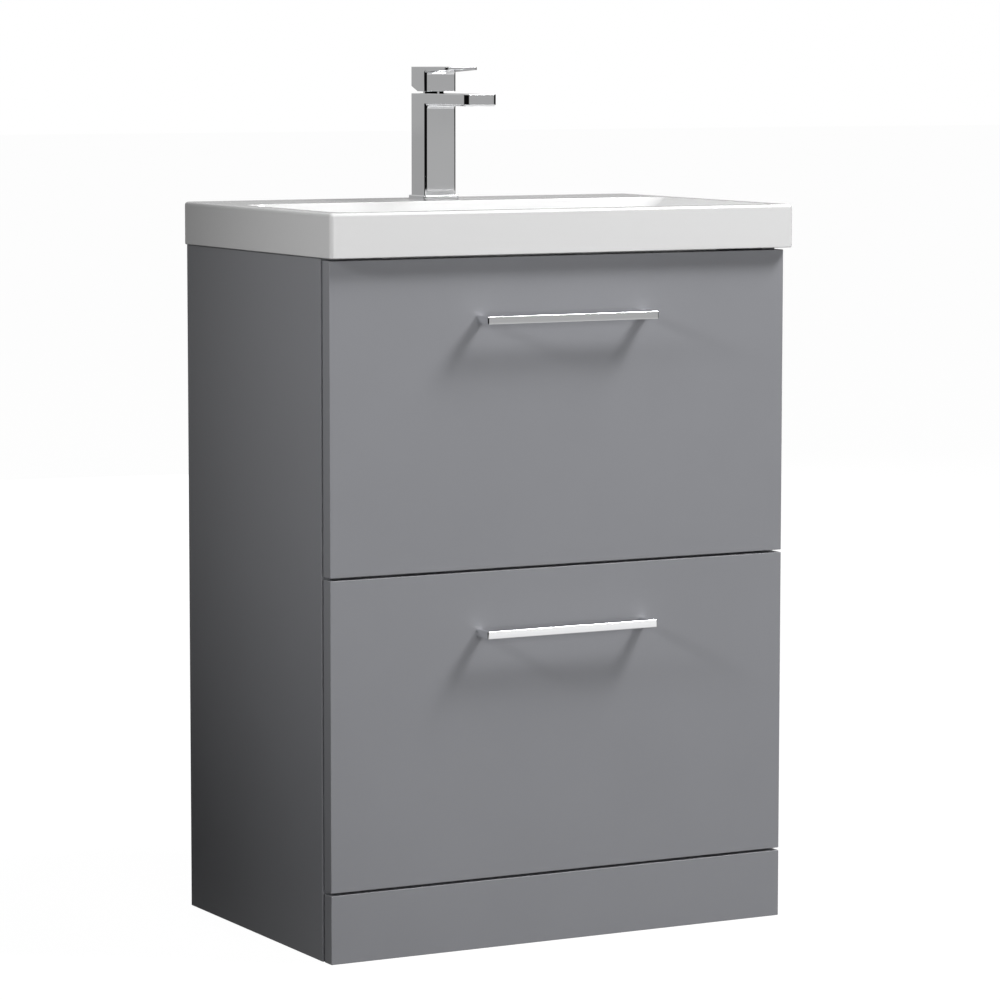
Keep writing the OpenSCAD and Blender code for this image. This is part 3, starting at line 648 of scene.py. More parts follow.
LEVELS = ("upper", "lower")
BOX_BOARDS = {
    "upper": ("upper_box_left_side", "upper_box_right_side", "upper_box_backs", "upper_recess_walls",
              "upper_box_base"),
    "lower": ("lower_box_left_side", "lower_box_right_side", "lower_box_back", "lower_box_base"),
}


@dataclass
class Carcass:
    """The fixed boards, fittings and cabinet halves of the runners."""

    shop: Workshop
    arris: float = 0.7 * MM
    board_arris: float = 0.5 * MM
    metal_arris: float = 0.25 * MM

    def build(self) -> None:
        """Builds the boards and dresses the fittings."""
        for node in ("left_side_panel", "right_side_panel", "plinth_panel"):
            self._lacquered(node)
        for node in ("base_panel", "mid_front_rail", "top_back_rail", "lower_back_rail", "plinth_blocks"):
            self.shop.refine(node, CARCASS_BOARD, "cabinet", self.board_arris)
        for node in ("cam_locks", "cam_bolts", "wall_brackets", "panel_screws", "upper_left_cabinet_rail",
                     "upper_right_cabinet_rail", "lower_left_cabinet_rail", "lower_right_cabinet_rail"):
            self.shop.refine(node, ZINC, "cabinet", self.metal_arris)
        self.shop.refine("front_bumpers", PLASTIC, "cabinet", self.metal_arris)
        for level in LEVELS:
            self.shop.refine(level + "_middle_rails", ZINC, level + "_runner_middles", self.metal_arris)

    def _lacquered(self, node: str) -> bpy.types.Object:
        """Builds a lacquered panel with soft edges.

        Args:
            node: the CAD node that it stands for.

        Returns:
            The panel.
        """
        low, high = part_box(node)
        panel = Shaper.block(node + "_made", low, high)
        panel.pick_sharp().bevel(self.arris, 3)
        return self.shop.settle(panel.done(), LACQUER, "cabinet", node)


@dataclass
class Drawer:
    """One drawer: its front, handle, box and the drawer halves of its runners."""

    shop: Workshop
    level: str
    arris: float = 0.7 * MM
    board_arris: float = 0.5 * MM
    rail_arris: float = 0.25 * MM
    screw_arris: float = 0.4 * MM
    handle_corner: float = 1.6 * MM
    handle_edge: float = 0.7 * MM
    foot_width: float = 9 * MM
    bar_thickness: float = 6 * MM

    def build(self) -> None:
        """Builds the drawer's pieces."""
        body = self.level + "_drawer"
        low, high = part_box(self.level + "_drawer_front")
        front = Shaper.block(self.level + "_front_panel", low, high)
        front.pick_sharp().bevel(self.arris, 3)
        self.shop.settle(front.done(), LACQUER, body, self.level + "_drawer_front")
        self._handle(body)
        for node in BOX_BOARDS[self.level]:
            self.shop.refine(node, BOX_BOARD, body, self.board_arris)
        for side in ("left", "right"):
            self.shop.refine(f"{self.level}_{side}_drawer_rail", ZINC, body, self.rail_arris)
        self.shop.refine(self.level + "_handle_screws", ZINC, body, self.screw_arris)

    def _handle(self, body: str) -> None:
        """Builds the square-bar handle.

        Args:
            body: the drawer's body.
        """
        node = self.level + "_handle"
        low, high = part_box(node)
        bar_back = low[1] + self.bar_thickness
        shaper = Shaper.block(node + "_bar", low, (high[0], bar_back, high[2]))
        for side in (low[0] + self.foot_width, high[0] - self.foot_width):
            shaper.slice((side, 0, 0), (1, 0, 0))
        shaper.pick(lambda c, n: n.y > 0.9 and abs(c.x) > high[0] - self.foot_width)
        shaper.extrude((0, high[1] - bar_back, 0))
        end = high[0] - TOUCH
        shaper.pick_sharp(also=lambda a, b: min(abs(a.x), abs(b.x)) > end and abs(a.z - b.z) > TOUCH
                          and max(a.y, b.y) < low[1] + TOUCH)
        shaper.bevel(self.handle_corner, 5)
        shaper.pick_sharp(also=lambda a, b: min(a.y, b.y) < high[1] - TOUCH)
        shaper.bevel(self.handle_edge, 3)
        self.shop.settle(shaper.done(30), CHROME, body, node)


@dataclass(frozen=True)
class BowlLines:
    """Where the bowl lies in the basin."""

    half: float
    front: float
    back: float
    rim: float
    floor: float

    def holds(self, point: Vector, slack: float = 0.0) -> bool:
        """Whether a point is within the bowl's outline at the rim, seen from above."""
        return abs(point.x) < self.half + slack and self.front - slack < point.y < self.back + slack

    def at_rim(self, *points: Vector) -> bool:
        """Whether every point is at the rim's height."""
        return all(abs(point.z - self.rim) < TOUCH for point in points)

    def is_fold(self, a: Vector, b: Vector, slack: float) -> bool:
        """Whether an edge is one of the bowl's corner or floor edges.

        Args:
            a: the edge's first end.
            b: its other end.
            slack: how far outside the outline an end may be.

        Returns:
            True for such an edge.
        """
        within = all(self.holds(end, slack) and end.z > self.floor - TOUCH for end in (a, b))
        return within and min(a.z, b.z) < self.floor + TOUCH


@dataclass
class Basin:
    """The ceramic basin: one shell with a sloping bowl, open underneath."""

    shop: Workshop
    rim_side: float = 20 * MM
    rim_front: float = 18 * MM
    deck: float = 122 * MM
    edge_height: float = 51 * MM
    skirt: float = 14 * MM
    deck_thickness: float = 13 * MM
    wall: float = 12 * MM
    depth: float = 112 * MM
    end_run: float = 176 * MM
    front_run: float = 70 * MM
    back_run: float = 38 * MM
    shell_behind: float = 8 * MM
    shell_front_wall: float = 7 * MM
    shell_back_wall: float = 9 * MM
    shell_end_wall: float = 4 * MM
    corner: float = 5 * MM
    rim_round: float = 4 * MM
    bowl_round: float = 16 * MM
    lip_round: float = 3.5 * MM
    foot_round: float = 1.5 * MM
    slack: float = 0.5 * MM
    lip_margin: float = 1 * MM

    def build(self) -> None:
        """Builds the basin."""
        low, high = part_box("basin")
        bottom = high[2] - self.edge_height
        shaper = Shaper.block("basin_shell", (low[0], low[1], bottom), high)
        bowl = BowlLines(high[0] - self.rim_side, low[1] + self.rim_front, high[1] - self.deck, high[2],
                         high[2] - self.depth)
        self._hollow_out(shaper, bowl, low, high)
        self._sink_bowl(shaper, bowl)
        self._round_off(shaper, bowl, high[0], bottom)
        drain_y = (bowl.front + self.front_run + bowl.back - self.back_run) / 2
        BasinFittings(low[2], drain_y, self.back_run).open_up(shaper, bowl)
        self.shop.settle(shaper.done(28), GLAZE, "cabinet", "basin")

    def _hollow_out(self, shaper: Shaper, bowl: BowlLines, low: Sequence[float],
                    high: Sequence[float]) -> None:
        """Opens the underside and draws the bowl's outer shell down from it.

        Args:
            shaper: the basin.
            bowl: the bowl's lines.
            low: the basin's lowest corner.
            high: its highest corner.
        """
        skirt_x = high[0] - self.skirt
        skirt_front, skirt_back = low[1] + self.skirt, high[1] - self.skirt
        shell_back = bowl.back + self.shell_behind
        for x in (bowl.half, -bowl.half, skirt_x, -skirt_x):
            shaper.slice((x, 0, 0), (1, 0, 0))
        for y in (bowl.front, bowl.back, skirt_front, skirt_back, shell_back):
            shaper.slice((0, y, 0), (0, 1, 0))
        shaper.pick(lambda c, n: n.z < -0.9 and abs(c.x) < skirt_x and skirt_front < c.y < skirt_back)
        shaper.extrude((0, 0, self.edge_height - self.deck_thickness))
        under = bowl.rim - self.deck_thickness
        shaper.pick(lambda c, n: abs(c.z - under) < TOUCH and abs(c.x) < bowl.half
                    and skirt_front < c.y < shell_back)
        shell_floor = bowl.floor - self.wall
        shaper.extrude((0, 0, shell_floor - under))
        wanted = (bowl.front + self.front_run - self.shell_front_wall,
                  bowl.back - self.back_run + self.shell_back_wall)
        self._fit(shaper, (skirt_front, shell_back), wanted, bowl.half,
                  bowl.half - self.end_run + self.shell_end_wall, shell_floor)

    def _sink_bowl(self, shaper: Shaper, bowl: BowlLines) -> None:
        """Sinks the bowl itself.

        Args:
            shaper: the basin.
            bowl: the bowl's lines.
        """
        shaper.pick(lambda c, n: n.z > 0.9 and bowl.at_rim(c) and bowl.holds(c))
        shaper.extrude((0, 0, -self.depth))
        wanted = (bowl.front + self.front_run, bowl.back - self.back_run)
        self._fit(shaper, (bowl.front, bowl.back), wanted, bowl.half, bowl.half - self.end_run, bowl.floor)

    def _round_off(self, shaper: Shaper, bowl: BowlLines, half: float, bottom: float) -> None:
        """Rounds the bowl's folds and lip, then the basin's corners, rim and foot.

        Args:
            shaper: the basin.
            bowl: the bowl's lines.
            half: half the basin's width.
            bottom: the height of the basin's lower edge.
        """
        shaper.pick_sharp(0.05, lambda a, b: bowl.is_fold(a, b, self.slack)).bevel(self.bowl_round, 8)
        shaper.pick_sharp(0.05, lambda a, b: bowl.at_rim(a, b) and bowl.holds(a, self.slack)
                          and bowl.holds(b, self.slack))
        shaper.bevel(self.lip_round, 5)
        shaper.pick_sharp(also=lambda a, b: min(abs(a.x), abs(b.x)) > half - TOUCH
                          and abs(a.z - b.z) > 10 * MM and abs(a.y - b.y) < TOUCH)
        shaper.bevel(self.corner, 6)
        shaper.pick_sharp(also=lambda a, b: bowl.at_rim(a, b) and not bowl.holds(a, self.lip_margin)
                          and not bowl.holds(b, self.lip_margin))
        shaper.bevel(self.rim_round, 6)
        shaper.pick_sharp(also=lambda a, b: abs(a.z - bottom) < TOUCH and abs(b.z - bottom) < TOUCH)
        shaper.bevel(self.foot_round, 3)

    @staticmethod
    def _fit(shaper: Shaper, old: tuple[float, float], new: tuple[float, float], old_x: float, new_x: float,
             z: float) -> None:
        """Scales and moves the selected rectangle onto another one.

        Args:
            shaper: the piece.
            old: the rectangle's lowest and highest y.
            new: the wanted ones.
            old_x: half its width.
            new_x: half the wanted width.
            z: its height.
        """
        middle, wanted = sum(old) / 2, sum(new) / 2
        shaper.resize((new_x / old_x, (new[1] - new[0]) / (old[1] - old[0]), 1.0), (0, middle, z))
        shaper.move((0, wanted - middle, 0))


@dataclass
class BasinFittings:
    """The boss, the overflow duct and the three holes of the basin."""

    lowest: float
    drain_y: float
    back_run: float
    boss_radius: float = 44 * MM
    boss_cover: float = 4 * MM
    duct_half: float = 24 * MM
    duct_front: float = 9 * MM
    duct_rear: float = 28 * MM
    duct_lift: float = 1 * MM
    duct_top: float = 20 * MM
    duct_setback: float = 8 * MM
    leg_half: float = 23.5 * MM
    leg_front: float = 20 * MM
    leg_rear: float = 26 * MM
    leg_lift: float = 1.2 * MM
    leg_cover: float = 5 * MM
    drain_radius: float = 22.9 * MM
    drain_drop: float = 20 * MM
    drain_cut: float = 80 * MM
    seat_gap: float = 0.5 * MM
    seat_rise: float = 8 * MM
    seat_cut: float = 20 * MM
    tap_radius: float = 17.5 * MM
    tap_drop: float = 6 * MM
    tap_cut: float = 40 * MM
    overflow_radius: float = 11 * MM
    overflow_cut: float = 24 * MM

    def open_up(self, shaper: Shaper, bowl: BowlLines) -> None:
        """Joins the boss and the duct to the basin, then cuts the holes.

        Args:
            shaper: the basin.
            bowl: the bowl's lines.
        """
        shaper.cut(self._boss(bowl), *self._duct(bowl), keep=True)
        shaper.cut(*self._holes(bowl))

    def _boss(self, bowl: BowlLines) -> bpy.types.Object:
        """Builds the boss round the drain.

        Args:
            bowl: the bowl's lines.

        Returns:
            The boss.
        """
        top = bowl.floor - self.boss_cover
        middle = (0, self.drain_y, (self.lowest + top) / 2)
        return Shaper.rod("boss", middle, self.boss_radius, top - self.lowest, 72).shape()

    def _duct(self, bowl: BowlLines) -> list[bpy.types.Object]:
        """Builds the overflow duct behind the bowl, and its leg to the boss.

        Args:
            bowl: the bowl's lines.

        Returns:
            The duct and its leg.
        """
        wall_y = bowl.back - self.back_run
        duct = Shaper.block("duct", (-self.duct_half, wall_y + self.duct_front, self.lowest + self.duct_lift),
                            (self.duct_half, wall_y + self.duct_rear, bowl.rim - self.duct_top))
        duct.pick(lambda c, n: n.z > 0.9).move((0, self.back_run - self.duct_setback, 0))
        upright = duct.shape()
        leg_low = (-self.leg_half, self.drain_y + self.leg_front, self.lowest + self.leg_lift)
        leg_high = (self.leg_half, wall_y + self.leg_rear, bowl.floor - self.leg_cover)
        leg = Shaper.block("duct_leg", leg_low, leg_high)
        return [upright, leg.shape()]

    def _holes(self, bowl: BowlLines) -> list[bpy.types.Object]:
        """Builds the drain hole with its seat, the tap hole and the overflow hole.

        Args:
            bowl: the bowl's lines.

        Returns:
            The shapes to cut out.
        """
        flange_low, flange_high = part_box("waste_body")
        seat_radius = (flange_high[0] - flange_low[0]) / 2 + self.seat_gap
        plate_low, plate_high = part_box("tap_base_plate")
        tap_place = (0, (plate_low[1] + plate_high[1]) / 2, bowl.rim - self.tap_drop)
        ring_middle = [(a + b) / 2 for a, b in zip(*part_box("overflow_ring"))]
        lean = -math.atan(self.back_run / (bowl.rim - bowl.floor))
        drain_place = (0, self.drain_y, bowl.floor - self.drain_drop)
        seat_place = (0, self.drain_y, bowl.floor + self.seat_rise)
        return [
            Shaper.rod("drain_hole", drain_place, self.drain_radius, self.drain_cut, 72).shape(),
            Shaper.rod("drain_seat", seat_place, seat_radius, self.seat_cut, 96).shape(),
            Shaper.rod("tap_hole", tap_place, self.tap_radius, self.tap_cut, 64).shape(),
            Shaper.rod("overflow_hole", ring_middle, self.overflow_radius, self.overflow_cut, 48,
                       (math.pi / 2 + lean, 0, 0)).shape(),
        ]


@dataclass
class Waste:
    """The overflow ring and the slotted waste with its plug."""

    shop: Workshop
    ring_arris: float = 0.6 * MM
    body_arris: float = 0.35 * MM
    nut_arris: float = 0.5 * MM
    seal_arris: float = 0.2 * MM
    cap: float = 5 * MM
    dome_inset: float = 3 * MM
    dome_drop: float = 1.6 * MM
    stem_radius: float = 4 * MM

    def build(self) -> None:
        """Builds the waste."""
        self.shop.refine("overflow_ring", CHROME, "cabinet", self.ring_arris)
        self.shop.refine("waste_body", CHROME, "cabinet", self.body_arris)
        self.shop.refine("waste_nut", CHROME, "cabinet", self.nut_arris)
        self.shop.refine("waste_washer", RUBBER, "cabinet", self.nut_arris)
        self.shop.refine("plug_seal", RUBBER, "waste_plug", self.seal_arris)
        self._plug()

    def _plug(self) -> None:
        """Builds the domed press plug and its stem."""
        low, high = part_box("waste_plug")
        middle_y = (low[1] + high[1]) / 2
        radius = (high[0] - low[0]) / 2
        shaper = Shaper.rod("press_plug", (0, middle_y, high[2] - self.cap / 2), radius, self.cap, 96)
        shaper.pick(lambda c, n: n.z > 0.9).inset(self.dome_inset)
        shaper.pick_edges(lambda a, b: min(a.z, b.z) > high[2] - TOUCH
                          and min(math.hypot(v.x, v.y - middle_y) for v in (a, b)) > radius - TOUCH)
        shaper.move((0, 0, -self.dome_drop))
        shaper.pick(lambda c, n: n.z < -0.9).inset(radius - self.stem_radius)
        shaper.extrude((0, 0, low[2] - (high[2] - self.cap)))
        self.shop.settle(shaper.done(30, self.nut_arris, 3), CHROME, "waste_plug", "waste_plug")


@dataclass
class Tap:
    """The mixer tap: base plate, body with spout, lever and the fixings under the deck."""

    shop: Workshop
    column_corner: float = 2.8 * MM
    spout_corner: float = 5 * MM
    spout_thickness: float = 14 * MM
    spout_chamfer: float = 2 * MM
    column_depth: float = 38.4 * MM
    edge: float = 0.6 * MM
    base_corner: float = 2.5 * MM
    base_edge: float = 0.8 * MM
    fitting_arris: float = 0.3 * MM
    small_arris: float = 0.1 * MM
    seat_radius: float = 10.3 * MM
    seat_cut: float = 14 * MM
    ring_width: float = 1.6 * MM
    ripple_width: float = 1.7 * MM
    ripple_height: float = 0.5 * MM
    aerator_arris: float = 0.15 * MM
    plate_root: float = 6.2 * MM
    plate_tip: float = 3.4 * MM
    heel_rise: float = 7 * MM
    heel_start: float = 1 * MM
    spout_cove: float = 4.5 * MM
    lever_cove: float = 3 * MM
    hollow_radius: float = 16 * MM
    hollow_depth: float = 8 * MM
    well_gap: float = 0.2 * MM

    def build(self) -> None:
        """Builds the tap's pieces."""
        self._base_plate()
        self._body()
        self._lever()
        fixed = (("tap_shank", BRASS), ("cartridge_nut", CHROME), ("tap_stud_nut", BRASS), ("tap_stud", ZINC),
                 ("tap_clamp_plate", ZINC), ("tap_clamp_pad", RUBBER), ("mixer_cartridge", PLASTIC))
        for node, finish in fixed:
            self.shop.refine(node, finish, "cabinet", self.fitting_arris)
        self.shop.refine("cartridge_carrier", PLASTIC, "tap_swivel", self.fitting_arris)
        self.shop.refine("spindle_pin", ZINC, "tap_swivel", self.small_arris)
        self.shop.refine("cartridge_spindle", ZINC, "tap_lever", self.fitting_arris)
        self.shop.refine("lever_grub_screw", ZINC, "tap_lever", self.small_arris)

    def _base_plate(self) -> None:
        """Builds the plate under the column."""
        low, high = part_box("tap_base_plate")
        shaper = Shaper.block("base_plate", low, high)
        shaper.pick_sharp(also=lambda a, b: abs(a.z - b.z) > 1 * MM).bevel(self.base_corner, 5)
        shaper.pick_sharp(also=lambda a, b: min(a.z, b.z) > high[2] - TOUCH).bevel(self.base_edge, 3)
        self.shop.settle(shaper.done(30), CHROME, "cabinet", "tap_base_plate")

    def _body(self) -> None:
        """Joins the spout and its cove to the column, and opens the aerator's seat and the two wells."""
        low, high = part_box("tap_body")
        front = high[1] - self.column_depth
        under = high[2] - self.spout_thickness
        root = high[1] - self.column_depth / 2
        spout = Shaper.block("spout", (low[0], low[1], under), (high[0], root, high[2]))
        spout.pick_sharp(also=lambda a, b: abs(a.z - b.z) > 1 * MM and max(a.y, b.y) < low[1] + TOUCH)
        spout.bevel(self.spout_corner, 7)
        spout.pick_sharp(also=lambda a, b: max(a.z, b.z) < under + TOUCH and min(a.y, b.y) < front)
        spout.bevel(self.spout_chamfer, 1, clamp=False)
        spout.pick_sharp(also=lambda a, b: min(a.z, b.z) > high[2] - TOUCH and min(a.y, b.y) < root - TOUCH)
        spout.bevel(self.edge, 3)
        cove = self._cove("spout_cove", high[0] - self.column_corner, front, under, self.spout_cove)
        aerator_low, aerator_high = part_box("tap_aerator")
        seat_x, seat_y = (aerator_low[0] + aerator_high[0]) / 2, (aerator_low[1] + aerator_high[1]) / 2
        seat = Shaper.rod("aerator_seat", (seat_x, seat_y, under), self.seat_radius, self.seat_cut, 64)
        column = Shaper.block("tap", (low[0], front, low[2]), high)
        column.pick_sharp(also=lambda a, b: abs(a.z - b.z) > 1 * MM).bevel(self.column_corner, 6)
        column.pick_sharp(also=lambda a, b: min(a.z, b.z) > high[2] - TOUCH).bevel(self.edge, 3)
        column.cut(spout.piece, cove, keep=True)
        column.cut(seat.shape(), *(self._well(node, high[2]) for node in ("mixer_cartridge", "cartridge_nut")))
        self.shop.settle(column.done(30), CHROME, "cabinet", "tap_body")
        self._aerator(aerator_low, aerator_high)

    def _well(self, node: str, top: float) -> bpy.types.Object:
        """Builds the round well that a part stands in, open at the column's top.

        Args:
            node: the CAD node of the part that stands in it.
            top: the column's top.

        Returns:
            The well's shape, to be cut out.
        """
        low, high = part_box(node)
        radius = (high[0] - low[0]) / 2 + self.well_gap
        height = top - low[2] + 1 * MM
        middle = (0, (low[1] + high[1]) / 2, low[2] + height / 2)
        return Shaper.rod(node + "_well", middle, radius, height, 64).shape()

    @staticmethod
    def _cove(name: str, half: float, front: float, under: float, radius: float) -> bpy.types.Object:
        """Builds the fillet that rounds the inner corner between the front face and an underside.

        Args:
            name: the fillet's name.
            half: half its width.
            front: the front face's y.
            under: the underside's height.
            radius: its radius.

        Returns:
            The fillet, to be joined to a piece.
        """
        middle = (0, front - radius, under - radius)
        round_out = Shaper.rod(name + "_round", middle, radius, 3 * half, 64, (0, math.pi / 2, 0)).shape()
        shaper = Shaper.block(name, (-half, *middle[1:]), (half, front + radius, under + 1 * MM))
        return shaper.cut(round_out).shape()

    def _aerator(self, low: Sequence[float], high: Sequence[float]) -> None:
        """Builds the aerator: a knurled ring around a dished face.

        Args:
            low: the CAD node's lowest corner.
            high: its highest corner.
        """
        middle = [(a + b) / 2 for a, b in zip(low, high)]
        radius = (high[0] - low[0]) / 2
        shaper = Shaper.rod("aerator", middle, radius, high[2] - low[2], 48)
        shaper.pick(lambda c, n: n.z < -0.9).inset(self.ring_width).extrude((0, 0, self.ring_width))
        for _ in range(3):
            shaper.inset(self.ripple_width).extrude((0, 0, self.ripple_height))
            shaper.inset(self.ripple_height).extrude((0, 0, -self.ripple_height))
        self.shop.settle(shaper.done(30, self.aerator_arris), CHROME, "cabinet", "tap_aerator")

    def _lever(self) -> None:
        """Builds the lever: a block with a sloping heel and a thin plate that reaches forward."""
        low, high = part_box("mixer_lever")
        front = high[1] - self.column_depth
        axis_y = high[1] - self.column_depth / 2
        shaper = Shaper.block("lever", (low[0], front, low[2]), high)
        root = high[2] - self.plate_root
        shaper.slice((0, 0, root), (0, 0, 1)).slice((0, axis_y + self.heel_start, 0), (0, 1, 0))
        shaper.pick_edges(lambda a, b: max(a.z, b.z) < low[2] + TOUCH and min(a.y, b.y) > high[1] - TOUCH)
        shaper.move((0, 0, self.heel_rise))
        shaper.pick(lambda c, n: n.y < -0.9 and c.z > root).extrude((0, low[1] - front, 0))
        shaper.pick_edges(lambda a, b: max(a.y, b.y) < low[1] + TOUCH and max(a.z, b.z) < root + TOUCH)
        shaper.move((0, 0, self.plate_root - self.plate_tip))
        shaper.pick_sharp(0.15, lambda a, b: abs(a.x - b.x) < TOUCH and abs(a.y - b.y) < TOUCH
                          and abs(a.z - b.z) > 1 * MM
                          and not (abs(a.y - front) < TOUCH and min(a.z, b.z) > root - TOUCH))
        shaper.bevel(self.column_corner, 6)
        shaper.pick_sharp(0.35)
        shaper.bevel(self.edge, 3)
        cove = self._cove("lever_cove", high[0] - self.column_corner, front, root, self.lever_cove)
        shaper.cut(cove, keep=True)
        hollow = Shaper.rod("lever_hollow", (0, axis_y, low[2]), self.hollow_radius, 2 * self.hollow_depth)
        shaper.cut(hollow.shape())
        self.shop.settle(shaper.done(30), CHROME, "tap_lever", "mixer_lever")


# --- Studio ---


@dataclass(frozen=True)
class Lamp:
    """One light: where it stands, what it is aimed at, its side or its cone in degrees, and its watts."""

    name: str
    place: Triple
    target: Triple
    spread: float
    power: float

    def hang(self, data: bpy.types.Light) -> bpy.types.Object:
        """Hangs the light and aims it.

        Args:
            data: the light's own data.

        Returns:
            The light.
        """
        data.energy = self.power
        light = bpy.data.objects.new(self.name, data)
        bpy.context.scene.collection.objects.link(light)
        light.location = self.place
        light.rotation_euler = (Vector(self.target) - Vector(self.place)).to_track_quat("-Z", "Y").to_euler()
        return light


KEY = Lamp("key", (1.8, -1.3, 3.2), (0.0, -0.1, 0.5), 0.95, 116.0)
FILLS = (
    Lamp("front_fill", (-0.6, -6.0, 1.2), (0.0, 0.0, 0.5), 3.0, 139.0),
    Lamp("low_fill", (0.8, -5.0, 0.5), (0.0, 0.0, 0.4), 2.0, 18.0),
    Lamp("back_fill", (0.8, 5.0, 1.0), (0.0, 0.2, 0.5), 3.0, 150.0),
)
SPOT = Lamp("left_spot", (-2.4, -0.7, 1.7), (-0.3, -0.5, 0.76), 43.0, 108.0)


@dataclass(frozen=True)
class Flag:
    """A black flag painted as a dark patch into the mirrored floor and surroundings, with no flag object in
    the scene: its direction, and the cosines where it fades in and is black.
    """

    way: tuple[float, float]
    clear: float
    black: float


